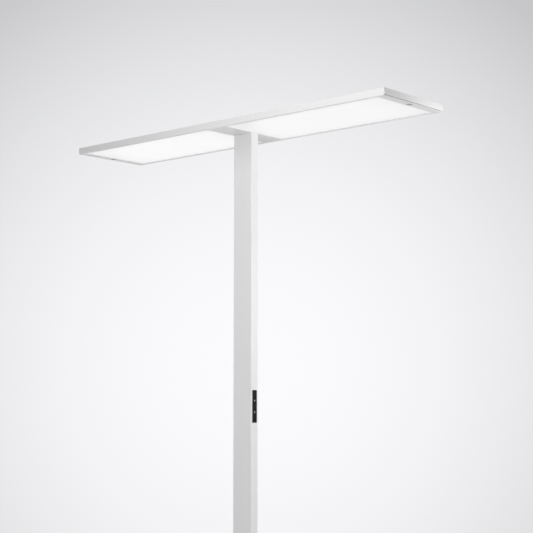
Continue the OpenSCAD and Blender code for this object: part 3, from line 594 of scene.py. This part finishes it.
@dataclass(frozen=True)
class Plastic(Finish):
    """Moulded plastic, from matt to high gloss, with hand marks and rubbed edges."""

    colour: Colour = (0.02, 0.02, 0.022)
    worn: Colour = (0.06, 0.06, 0.06)
    roughness: float = 0.5
    cell: float = 0.0006
    height: float = 0.000008
    marks: float = 0.3
    mark_rough: float = 0.3
    wear: float = 0.15
    ior: float = 1.49

    def shade(self, graph: Graph) -> Socket:
        """See Finish.shade."""
        grain = SurfaceGrain().put(graph, Cell=self.cell, Height=self.height)
        drift = ToneDrift().put(graph, Size=0.05, Amount=0.06)["Factor"]
        marks = HandMarks().put(graph, Size=0.018, Amount=self.marks)["Mask"]
        worn = EdgeWear().put(graph, Radius=0.0004, Amount=self.wear)["Mask"]
        return self.principled(
            graph,
            Base_Color=graph.mix(worn, graph.scaled(self.colour, drift), self.worn),
            Roughness=graph.math("MULTIPLY_ADD", marks, self.mark_rough, self.roughness,
                                 clamp=True),
            IOR=self.ior,
            Normal=grain["Normal"],
        )


@dataclass(frozen=True)
class Metal(Finish):
    """Bare metal with the lines of the tool along one row axis."""

    colour: Colour = (0.7, 0.71, 0.73)
    rubbed_gain: float = 1.2
    roughness: float = 0.35
    line_rough: float = 0.25
    line_depth: float = 0.12
    lay: Axis = Axis.X
    squeeze: float = 0.02
    lines: float = 2200.0
    height: float = 0.000006

    def shade(self, graph: Graph) -> Socket:
        """See Finish.shade."""
        stretch = tuple(self.squeeze if axis is self.lay else 1.0 for axis in Axis)
        lay = MetalLay().put(graph, Stretch=stretch, Scale=self.lines, Height=self.height)
        drift = ToneDrift().put(graph, Size=0.03, Amount=0.12)["Factor"]
        worn = EdgeWear().put(graph, Radius=0.0004, Amount=0.5)["Mask"]
        bright = tuple(min(1.0, self.rubbed_gain * part) for part in self.colour)
        smoothest = self.roughness - self.line_depth
        return self.principled(
            graph,
            Base_Color=graph.mix(worn, graph.scaled(self.colour, drift), bright),
            Metallic=1.0,
            Roughness=graph.math("MULTIPLY_ADD", lay["Value"], self.line_rough, smoothest),
            Normal=lay["Normal"],
        )


@dataclass(frozen=True)
class Rubber(Finish):
    """Matt rubber with a coarse grain and floor dust in it."""

    colour: Colour = (0.018, 0.018, 0.018)
    dust_colour: Colour = tinted(90, 2.0)
    roughness: float = 0.78
    dust_rough: float = 0.1

    def shade(self, graph: Graph) -> Socket:
        """See Finish.shade."""
        grain = SurfaceGrain().put(graph, Cell=0.0008, Height=0.00006)
        dust = HandMarks().put(graph, Size=0.01, Amount=0.35)["Mask"]
        return self.principled(
            graph,
            Base_Color=graph.mix(dust, self.colour, self.dust_colour),
            Roughness=graph.math("MULTIPLY_ADD", dust, self.dust_rough, self.roughness),
            Normal=grain["Normal"],
        )


@dataclass(frozen=True)
class LitPlate(Finish):
    """Clear plate of small prisms in front of an evenly lit surface, with painted shade in its own
    colour near its ends and long edges.
    """

    colour: Colour = (0.2, 0.2, 0.203)
    glow: Colour = (0.645, 0.645, 0.647)
    start: float = 0.036
    end: float = 0.57
    half_width: float = 0.121
    start_loss: float = 0.025
    end_loss: float = 0.04
    edge_loss: float = 0.02
    seam_loss: float = 0.04
    pitch: float = 0.002
    height: float = 0.0002
    roughness: float = 0.35
    seam_rough: float = 0.1

    def shade(self, graph: Graph) -> Socket:
        """See Finish.shade."""
        prisms = PrismCells().put(graph, Pitch=self.pitch, Height=self.height)
        even = PanelGlow().put(graph, Start=self.start, End=self.end, Half_Width=self.half_width,
                               Start_Loss=self.start_loss, End_Loss=self.end_loss,
                               Edge_Loss=self.edge_loss)["Factor"]
        light = graph.math("MULTIPLY_ADD", prisms["Seam"], -self.seam_loss, even)
        rough = graph.math("MULTIPLY_ADD", prisms["Seam"], self.seam_rough, self.roughness)
        return self.principled(
            graph,
            # The plate's own colour is darkened by the glow factor near its ends and long edges:
            # painted shade.
            Base_Color=graph.scaled(self.colour, even),
            Roughness=rough,
            IOR=1.4,
            Emission_Color=graph.scaled(self.glow, light),
            Emission_Strength=1.0,
            Normal=prisms["Normal"],
        )


@dataclass(frozen=True)
class LensPlastic(Finish):
    """Milky lens of a presence sensor, with fine rings."""

    centre: Point = (0.0, 0.0, 0.0)
    colour: Colour = (0.42, 0.42, 0.42)
    middle_share: float = 0.9
    shoulder: Span = (0.002, 0.0075)
    roughness: float = 0.34
    pitch: float = 0.0012
    height: float = 0.0001

    def shade(self, graph: Graph) -> Socket:
        """See Finish.shade."""
        rings = LensRings().put(graph, Centre=self.centre, Pitch=self.pitch, Height=self.height)
        rim = graph.step(rings["Radius"], *self.shoulder, self.middle_share)
        return self.principled(
            graph,
            Base_Color=graph.scaled(self.colour, rim),
            Roughness=graph.math("MULTIPLY", rim, self.roughness),
            IOR=1.5,
            Subsurface_Weight=0.15,
            Subsurface_Scale=0.001,
            Normal=rings["Normal"],
        )


@dataclass(frozen=True)
class CircuitBoard(Finish):
    """Solder mask over copper tracks, with tinned pads."""

    mask: Colour = (0.02, 0.14, 0.05)
    track: Colour = (0.03, 0.2, 0.07)
    tin: Colour = (0.7, 0.7, 0.68)
    tin_metal: float = 0.9
    roughness: float = 0.3
    grain_rough: float = 0.1
    pitch: float = 0.003

    def shade(self, graph: Graph) -> Socket:
        """See Finish.shade."""
        copper = CircuitTracks().put(graph, Pitch=self.pitch)
        grain = SurfaceGrain().put(graph, Cell=0.0004, Height=0.000006)
        board = graph.mix(copper["Tracks"], self.mask, self.track)
        return self.principled(
            graph,
            Base_Color=graph.mix(copper["Pads"], board, self.tin),
            Metallic=graph.math("MULTIPLY", copper["Pads"], self.tin_metal),
            Roughness=graph.math("MULTIPLY_ADD", grain["Value"], self.grain_rough,
                                 self.roughness),
            Normal=grain["Normal"],
        )


@dataclass(frozen=True)
class GuidePlate(Finish):
    """Clear acrylic with rows of printed dots that let the light out."""

    colour: Colour = (0.86, 0.89, 0.9)
    dot: Colour = (0.95, 0.95, 0.95)
    pitch: float = 0.0025
    dot_edge: Span = (0.25, 0.3)
    roughness: float = 0.06
    dot_rough: float = 0.4

    def shade(self, graph: Graph) -> Socket:
        """See Finish.shade."""
        distance = graph.cells(graph.flat_place(), 1.0 / self.pitch, "EUCLIDEAN", 0.0)
        dots = graph.step(distance, *self.dot_edge, 1.0, 0.0)
        drift = ToneDrift().put(graph, Size=0.1, Amount=0.02)["Factor"]
        return self.principled(
            graph,
            Base_Color=graph.mix(dots, graph.scaled(self.colour, drift), self.dot),
            Roughness=graph.math("MULTIPLY_ADD", dots, self.dot_rough, self.roughness),
            IOR=1.49,
            Transmission_Weight=0.35,
        )


@dataclass(frozen=True)
class FloorFinish(Finish):
    """Pale floor that fades into the backdrop and is open from below.

    Under the base it lets light from below reach the underside, but the camera still sees it.
    """

    colour: Colour = (0.72, 0.72, 0.73)
    seen_gain: float = 0.3
    fade_start: float = 0.7
    fade_end: float = 2.4
    opening: Span = (0.235, 0.145)
    roughness: float = 0.55
    grain_rough: float = 0.05

    def shade(self, graph: Graph) -> Socket:
        """See Finish.shade."""
        flat = graph.flat_place()
        radius = graph.measure("LENGTH", flat)
        fade = graph.step(radius, self.fade_start, self.fade_end)
        drift = ToneDrift().put(graph, Size=0.8, Amount=0.015)["Factor"]
        grain = SurfaceGrain().put(graph, Cell=0.004, Height=0.00003)
        path = graph.node("ShaderNodeLightPath").outputs
        seen = graph.math("MULTIPLY_ADD", path["Is Camera Ray"], self.seen_gain, 1.0)
        solid = self.principled(
            graph,
            Base_Color=graph.scaled(self.colour, graph.math("MULTIPLY", drift, seen)),
            Roughness=graph.math("MULTIPLY_ADD", grain["Value"], self.grain_rough,
                                 self.roughness),
            Normal=grain["Normal"],
        )
        clear = graph.node("ShaderNodeBsdfTransparent").outputs[0]
        split = graph.node("ShaderNodeSeparateXYZ", graph.vector("ABSOLUTE", flat))
        covered = graph.math(
            "MULTIPLY",
            graph.math("LESS_THAN", split.outputs["X"], self.opening[0]),
            graph.math("LESS_THAN", split.outputs["Y"], self.opening[1]),
        )
        unseen = graph.math("SUBTRACT", 1.0, path["Is Camera Ray"])
        backfacing = graph.node("ShaderNodeNewGeometry").outputs["Backfacing"]
        gone = graph.math("MAXIMUM", fade, backfacing)
        gone = graph.math("MAXIMUM", gone, graph.math("MULTIPLY", covered, unseen))
        return graph.node("ShaderNodeMixShader", gone, solid, clear).outputs[0]


WHITE_COAT = PowderCoat("white_powder_coat")
COARSE_COAT = PowderCoat("coarse_white_powder_coat", colour=(0.79, 0.79, 0.79), roughness=0.5,
                         cell=0.0016, height=0.00003, dust=0.12)
BLACK_GLOSS = Plastic("black_gloss_plastic", colour=(0.007, 0.007, 0.008),
                      worn=(0.03, 0.03, 0.03), roughness=0.22, height=0.000002, ior=1.15)
BLACK_MATT = Plastic("black_matt_plastic")
PALE_PLASTIC = Plastic("pale_plastic", colour=(0.68, 0.68, 0.66), worn=(0.55, 0.55, 0.54))
MARK_PLASTIC = Plastic("mark_plastic", colour=(0.62, 0.62, 0.6), worn=(0.5, 0.5, 0.5),
                       roughness=0.4)
SHEATH = Plastic("cable_sheath", colour=(0.6, 0.6, 0.6), worn=(0.55, 0.55, 0.55), marks=0.4)
WHITE_SHEET = Plastic("white_reflector_sheet", colour=(0.86, 0.86, 0.86),
                      worn=(0.8, 0.8, 0.8), roughness=0.7, marks=0.1)
FLOOR_RUBBER = Rubber("floor_rubber")
# Near-black rubber of the beads in the end-cap gaps: painted shade that keeps those gaps dark.
PAINTED_SHADE_RUBBER = Rubber("seal_rubber", colour=(0.012, 0.012, 0.012))
ALUMINIUM = {axis: Metal(f"milled_aluminium_{axis.name}", lay=axis) for axis in Axis}
ZINC = Metal("zinc_plated_steel", colour=(0.56, 0.57, 0.59), roughness=0.3, lines=5000.0)
GREEN_BOARD = CircuitBoard("green_board")
WHITE_BOARD = CircuitBoard("white_board", mask=(0.78, 0.8, 0.78), track=(0.7, 0.73, 0.7))
GUIDE = GuidePlate("light_guide_acrylic")


# ---------------------------------------------------------------- sub-assemblies


def both(*names: str) -> list[str]:
    """Gives the names of the left and the right node of each pair."""
    return [f"{side}_{name}" for name in names for side in ("left", "right")]


@dataclass
class SubAssembly:
    """CAD nodes that belong together, with the radii of their edges as sizes."""

    title: ClassVar[str]
    dressed: ClassVar[set[str]] = set()
    WELD_REACH: ClassVar[float] = 0.000005
    FLAT_ANGLE: ClassVar[float] = math.radians(0.6)
    EDGE_ANGLE: ClassVar[float] = math.radians(40)
    EDGE_STEPS: ClassVar[int] = 2

    def build(self) -> None:
        """Softens the edges of the nodes and makes the pieces that only show up close."""
        raise NotImplementedError

    def dress(self) -> None:
        """Puts the finishes on."""
        raise NotImplementedError

    @classmethod
    def soften(cls, radius: float, *nodes: str) -> None:
        """Rounds sharp edges with modifiers, which leave a node's own mesh as it is.

        Args:
            radius: The edge radius.
            *nodes: The CAD nodes.
        """
        for name in nodes:
            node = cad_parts[name]
            weld = node.modifiers.new("join_faces", "WELD")
            weld.merge_threshold = cls.WELD_REACH
            flats = node.modifiers.new("merge_flats", "DECIMATE")
            flats.decimate_type = "DISSOLVE"
            flats.angle_limit = cls.FLAT_ANGLE
            edges = node.modifiers.new("soft_edges", "BEVEL")
            edges.width = radius
            edges.segments = cls.EDGE_STEPS
            edges.limit_method = "ANGLE"
            edges.angle_limit = cls.EDGE_ANGLE
            normals = node.modifiers.new("even_normals", "WEIGHTED_NORMAL")
            normals.keep_sharp = True

    @classmethod
    def coat(cls, finish: Finish, *nodes: str) -> None:
        """Puts a finish on CAD nodes.

        Args:
            finish: The finish.
            *nodes: The CAD nodes.
        """
        for name in nodes:
            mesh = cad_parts[name].data
            mesh.materials.clear()
            mesh.materials.append(finish.material())
            cls.dressed.add(name)
        LOG.info("%s: %s on %s", cls.title, finish.name, ", ".join(nodes))


@dataclass
class Base(SubAssembly):
    """Base plate, floor pads, and the block and bolts that hold the column."""

    title: ClassVar[str] = "base"
    plate_edge: float = 0.001
    block_edge: float = 0.0006
    bolt_edge: float = 0.00015

    def build(self) -> None:
        """See SubAssembly.build."""
        self.soften(self.plate_edge, "base_plate")
        self.soften(self.block_edge, "foot_block", "floor_pads")
        self.soften(self.bolt_edge, "base_bolts", "foot_screws")

    def dress(self) -> None:
        """See SubAssembly.dress."""
        self.coat(COARSE_COAT, "base_plate")
        self.coat(FLOOR_RUBBER, "floor_pads")
        self.coat(ALUMINIUM[Axis.Z], "foot_block")
        self.coat(ZINC, "base_bolts", "foot_screws")


@dataclass
class Column(SubAssembly):
    """Extruded column, its cable gland and the electrics inside it."""

    title: ClassVar[str] = "column"
    gland_edge: float = 0.0003
    case_edge: float = 0.0006
    sheet_edge: float = 0.0002
    screw_edge: float = 0.00015

    def build(self) -> None:
        """See SubAssembly.build."""
        self.soften(self.gland_edge, "cable_gland", "gland_nut", "mains_terminal")
        self.soften(self.case_edge, "led_driver", "lighting_controller")
        self.soften(self.sheet_edge, "driver_carrier")
        self.soften(self.screw_edge, "driver_screws")

    def dress(self) -> None:
        """See SubAssembly.dress."""
        self.coat(WHITE_COAT, "column_profile")
        self.coat(BLACK_MATT, "cable_gland", "gland_nut")
        self.coat(ALUMINIUM[Axis.Z], "driver_carrier")
        self.coat(PALE_PLASTIC, "led_driver", "lighting_controller", "mains_terminal")
        self.coat(ZINC, "driver_screws")
        self.coat(SHEATH, "mains_wires", "driver_output_wires", "head_cable", "control_cable")


@dataclass
class ControlPanel(SubAssembly):
    """Panel with two push keys in the column's narrow face."""

    title: ClassVar[str] = "control panel"
    moulded_edge: float = 0.00015

    def build(self) -> None:
        """See SubAssembly.build."""
        self.soften(self.moulded_edge, "control_fascia", "upper_key", "lower_key",
                    "control_housing", "key_switches")

    def dress(self) -> None:
        """See SubAssembly.dress."""
        self.coat(BLACK_GLOSS, "control_fascia", "upper_key", "lower_key")
        self.coat(MARK_PLASTIC, "upper_key_mark", "lower_key_mark")
        self.coat(BLACK_MATT, "control_housing", "key_switches")
        self.coat(PALE_PLASTIC, "upper_switch_plunger", "lower_switch_plunger")
        self.coat(GREEN_BOARD, "control_board")


@dataclass
class HeadFrame(SubAssembly):
    """Rails, end caps, strips, bridge, beam and top cover of the head."""

    title: ClassVar[str] = "head frame"
    rail_edge: float = 0.0004
    sheet_edge: float = 0.0002
    beam_edge: float = 0.0006
    screw_edge: float = 0.00015

    def build(self) -> None:
        """See SubAssembly.build."""
        self.soften(self.rail_edge, "front_side_rail", "rear_side_rail", *both("end_cap"))
        self.soften(self.sheet_edge, *both("end_strip"), "bridge_cover", "top_cover")
        self.soften(self.beam_edge, "head_beam")
        self.soften(self.screw_edge, "beam_rail_screws", "beam_column_screws", "cover_screws")

    def dress(self) -> None:
        """See SubAssembly.dress."""
        self.coat(WHITE_COAT, "front_side_rail", "rear_side_rail",
                  *both("end_cap", "end_strip"), "bridge_cover")
        self.coat(COARSE_COAT, "top_cover")
        self.coat(ALUMINIUM[Axis.Y], "head_beam")
        self.coat(ZINC, "beam_rail_screws", "beam_column_screws", "cover_screws")


@dataclass
class PaintedShadeBeads(SubAssembly):
    """Near-black rubber beads in the shadow gaps between the end caps and the strips below them:
    painted shade that keeps these gaps dark.
    """

    title: ClassVar[str] = "painted shade beads"
    play: float = 0.00005
    setback: float = 0.0004
    crown: float = 0.0002
    depth: float = 0.0023
    end_margin: float = 0.0006
    edge: float = 0.00005
    crown_steps: int = 8
    lengths: int = 24
    beads: list[bpy.types.Object] = field(default_factory=list)

    def build(self) -> None:
        """See SubAssembly.build."""
        self.beads += [self.bead(side, name) for side, name in ((-1, "left"), (1, "right"))]

    def bead(self, side: int, name: str) -> bpy.types.Object:
        """Makes the bead of one gap, with a round crown towards the outside.

        Args:
            side: -1 on the left, 1 on the right.
            name: The side's name.

        Returns:
            The bead.
        """
        cap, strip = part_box("right_end_cap"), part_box("right_end_strip")
        outer = cap[1].x - self.setback
        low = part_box("bridge_cover")[1].z + self.play
        high = cap[0].z - self.play
        near, far = strip[0].y + self.end_margin, strip[1].y - self.end_margin
        section = []
        for step in range(self.crown_steps + 1):
            along = step / self.crown_steps
            dip = self.crown * (2.0 * along - 1.0) ** 2
            section.append((outer - dip, low + along * (high - low)))
        section += [(outer - self.depth, high), (outer - self.depth, low)]
        made = bmesh.new()
        rings = []
        for step in range(self.lengths + 1):
            y = near + (far - near) * step / self.lengths
            rings.append([made.verts.new((side * x, y, z)) for x, z in section])
        for one, two in zip(rings, rings[1:]):
            for k in range(len(section)):
                made.faces.new((one[k - 1], one[k], two[k], two[k - 1]))
        made.faces.new(rings[0])
        made.faces.new(rings[-1])
        bmesh.ops.recalc_face_normals(made, faces=made.faces)
        mesh = bpy.data.meshes.new(f"{name}_gap_seal")
        made.to_mesh(mesh)
        made.free()
        painted_bead = bpy.data.objects.new(f"{name}_gap_seal", mesh)
        bpy.context.scene.collection.objects.link(painted_bead)
        edges = painted_bead.modifiers.new("soft_edges", "BEVEL")
        edges.width = self.edge
        edges.limit_method = "ANGLE"
        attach(painted_bead, "stand")
        return painted_bead

    def dress(self) -> None:
        """See SubAssembly.dress."""
        for painted_bead in self.beads:
            # The near-black rubber is painted shade in the gap below each end cap.
            painted_bead.data.materials.append(PAINTED_SHADE_RUBBER.material())
            LOG.info("%s: %s on %s", self.title, PAINTED_SHADE_RUBBER.name, painted_bead.name)


@dataclass
class LightPanels(SubAssembly):
    """The lit stacks of diffuser, light guide, reflector and tray, and the windows above."""

    title: ClassVar[str] = "light panels"
    plate_edge: float = 0.0002

    def build(self) -> None:
        """See SubAssembly.build."""
        self.soften(self.plate_edge,
                    *both("diffuser", "uplight_window", "light_guide", "back_tray"))

    def dress(self) -> None:
        """See SubAssembly.dress."""
        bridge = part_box("bridge_cover")[1]
        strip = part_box("right_end_strip")[0]
        window_low, window_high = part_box("right_uplight_window")
        diffuser = LitPlate("lit_diffuser", start=bridge.x, end=strip.x, half_width=bridge.y)
        window = LitPlate(
            "lit_window",
            colour=(0.5, 0.5, 0.5),
            glow=(0.5, 0.5, 0.5),
            start=window_low.x,
            end=window_high.x,
            half_width=window_high.y,
            start_loss=0.2,
            end_loss=0.2,
            edge_loss=0.3,
            height=0.0,
        )
        self.coat(diffuser, *both("diffuser"))
        self.coat(window, *both("uplight_window"))
        self.coat(GUIDE, *both("light_guide"))
        self.coat(WHITE_SHEET, *both("reflector"))
        self.coat(ALUMINIUM[Axis.X], *both("back_tray"))
        self.coat(WHITE_BOARD, *both("edge_led_boards", "uplight_board"))


@dataclass
class Sensors(SubAssembly):
    """Presence sensors at the ends of the head, and the wiring in the head."""

    title: ClassVar[str] = "sensors and head wiring"
    housing_edge: float = 0.0003

    def build(self) -> None:
        """See SubAssembly.build."""
        self.soften(self.housing_edge, *both("sensor"), "head_terminal")

    def dress(self) -> None:
        """See SubAssembly.dress."""
        for side in ("left", "right"):
            low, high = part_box(f"{side}_sensor_lens")
            lens = LensPlastic(f"{side}_lens_plastic", centre=tuple((low + high) / 2))
            self.coat(lens, f"{side}_sensor_lens")
        self.coat(BLACK_MATT, *both("sensor"))
        self.coat(SHEATH, *both("head_wires"))
        self.coat(PALE_PLASTIC, "head_terminal")


# ---------------------------------------------------------------- studio


def set_up(thing: bpy.types.Object, place: Point, aim: Vector) -> None:
    """Puts a lamp or a camera in the scene.

    Args:
        thing: The lamp or the camera.
        place: Where it stands.
        aim: The direction that it points in.
    """
    thing.location = place
    thing.rotation_mode = "QUATERNION"
    thing.rotation_quaternion = aim.to_track_quat("-Z", "Y")
    bpy.context.scene.collection.objects.link(thing)


@dataclass(frozen=True)
class AreaLamp:
    """A square soft light that the camera doesn't see."""

    name: str
    place: Point
    target: Point
    size: float
    power: float

    def build(self) -> None:
        """Makes the lamp."""
        data = bpy.data.lights.new(self.name, "AREA")
        data.shape = "SQUARE"
        data.size = self.size
        data.energy = self.power
        lamp = bpy.data.objects.new(self.name, data)
        lamp.visible_camera = False
        set_up(lamp, self.place, Vector(self.target) - Vector(self.place))


@dataclass(frozen=True)
class PhotoCamera:
    """The camera that was worked out from the photograph."""

    place: Point = (2.465, -2.659, 1.1777)
    yaw: float = 41.88
    pitch: float = 5.751
    lens: float = 84.88
    sensor: float = 36.0
    nearest: float = 0.05
    farthest: float = 60.0

    def axes(self) -> tuple[Vector, Vector, Vector]:
        """Works out the camera's axes.

        Returns:
            Forward, right and up.
        """
        yaw, pitch = math.radians(self.yaw), math.radians(self.pitch)
        level = Vector((-math.sin(yaw), math.cos(yaw), 0.0))
        right = Vector((math.cos(yaw), math.sin(yaw), 0.0))
        forward = level * math.cos(pitch) + Vector((0.0, 0.0, math.sin(pitch)))
        return forward, right, right.cross(forward)

    def build(self) -> None:
        """Makes the camera and hands it to the scene."""
        data = bpy.data.cameras.new("photo_camera")
        data.sensor_fit = "HORIZONTAL"
        data.sensor_width = self.sensor
        data.lens = self.lens
        data.clip_start = self.nearest
        data.clip_end = self.farthest
        camera = bpy.data.objects.new("photo_camera", data)
        set_up(camera, self.place, self.axes()[0])
        bpy.context.scene.camera = camera


@dataclass(frozen=True)
class Backdrop:
    """Pale round glow behind the lamp, and the even light that the room gives."""

    centre: Point = (-0.0114, -0.0785, 0.0)
    reach: float = 0.2731
    tone: float = 251.1
    fall: float = 21.5
    steeper_fall: float = 7.0
    room: Colour = (1.0, 1.0, 1.0)
    room_strength: float = 0.1

    def build(self, camera: PhotoCamera) -> None:
        """Makes the world.

        Args:
            camera: The photo camera, which the glow is centred behind.
        """
        world = bpy.data.worlds.new("studio")
        world.use_nodes = True
        world.node_tree.nodes.clear()
        graph = Graph(world.node_tree)
        forward, right, up = (tuple(axis) for axis in camera.axes())
        glow = BackdropGlow().put(graph, Forward=forward, Right=right, Up=up, Centre=self.centre,
                                  Reach=self.reach, Tone=self.tone, Fall=self.fall,
                                  Steeper_Fall=self.steeper_fall)
        seen = graph.node("ShaderNodeBackground", glow["Color"])
        even = graph.node("ShaderNodeBackground", self.room, self.room_strength)
        path = graph.node("ShaderNodeLightPath").outputs
        mirrored = graph.math("MAXIMUM", path["Is Glossy Ray"], path["Is Transmission Ray"])
        shows = graph.math("MAXIMUM", path["Is Camera Ray"], mirrored)
        mixed = graph.node("ShaderNodeMixShader", shows, even.outputs[0], seen.outputs[0])
        graph.node("ShaderNodeOutputWorld", mixed.outputs[0])
        bpy.context.scene.world = world


@dataclass
class Studio:
    """Floor, backdrop, lamps and camera."""

    # Name, place, target, width in metres and power in watts.
    LAMPS: ClassVar[tuple[AreaLamp, ...]] = (
        AreaLamp("front_high", (0.4, -2.4, 3.2), (0.0, 0.0, 1.5), 1.6, 26.5),
        AreaLamp("front_middle", (0.6, -1.3, 1.65), (0.3, -0.1, 1.9), 0.5, 8.1),
        AreaLamp("front_low", (1.0, -1.2, 1.2), (0.0, 0.0, 1.3), 0.8, 2.3),
        AreaLamp("side_far", (3.2, 1.6, 1.8), (0.0, 0.0, 1.4), 2.0, 17.0),
        AreaLamp("side_far_low", (3.2, 0.8, 0.8), (0.0, 0.0, 1.0), 1.4, 5.9),
        AreaLamp("side_middle", (1.0, 0.9, 1.6), (0.0, 0.0, 1.7), 0.6, 5.8),
        AreaLamp("side_low", (0.65, 0.7, 1.0), (0.0, 0.0, 1.2), 1.0, 2.7),
        AreaLamp("end_near", (0.75, 0.11, 1.9), (0.6, 0.06, 1.94), 0.1, 0.12),
        AreaLamp("below_left", (-1.3, 0.2, 0.9), (-0.5, 0.0, 1.93), 0.8, 5.0),
        AreaLamp("below_front", (0.2, -0.9, 0.45), (0.0, 0.0, 1.93), 1.0, 2.4),
        AreaLamp("top", (0.3, -0.4, 4.2), (0.0, 0.0, 0.0), 2.4, 18.0),
        AreaLamp("back", (-2.4, 2.8, 2.2), (0.0, 0.0, 1.0), 2.0, 15.0),
        AreaLamp("under_base", (0.0, 0.0, -1.2), (0.0, 0.0, 0.0), 0.8, 7.0),
    )
    floor_steps: int = 96

    def build(self) -> None:
        """Makes everything round the lamp."""
        self.lay_floor()
        for lamp in self.LAMPS:
            lamp.build()
        camera = PhotoCamera()
        camera.build()
        Backdrop().build(camera)
        bpy.context.scene.view_settings.view_transform = "Standard"
        LOG.info("studio: %d lamps", len(self.LAMPS))

    def lay_floor(self) -> None:
        """Lays a round floor that isn't part of the object."""
        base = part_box("base_plate")[1]
        finish = FloorFinish("studio_floor", opening=(base.x, base.y))
        mesh = bpy.data.meshes.new("studio_floor")
        turn = math.tau / self.floor_steps
        rim = [
            (finish.fade_end * math.cos(turn * k), finish.fade_end * math.sin(turn * k), 0.0)
            for k in range(self.floor_steps)
        ]
        mesh.from_pydata(rim, [], [tuple(range(self.floor_steps))])
        mesh.materials.append(finish.material())
        floor = bpy.data.objects.new("studio_floor", mesh)
        bpy.context.scene.collection.objects.link(floor)


# ---------------------------------------------------------------- main


def main() -> None:
    """Builds and dresses every sub-assembly in order, then the studio."""
    logging.basicConfig(level=logging.INFO, format="%(name)s: %(message)s")
    assemblies = (Base(), Column(), ControlPanel(), HeadFrame(), PaintedShadeBeads(), LightPanels(),
                  Sensors())
    for assembly in assemblies:
        assembly.build()
        assembly.dress()
    bare = sorted(set(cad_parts) - SubAssembly.dressed)
    if bare:
        raise ValueError(f"nodes with no finish: {bare}")
    Studio().build()


if __name__ == "__main__":
    main()
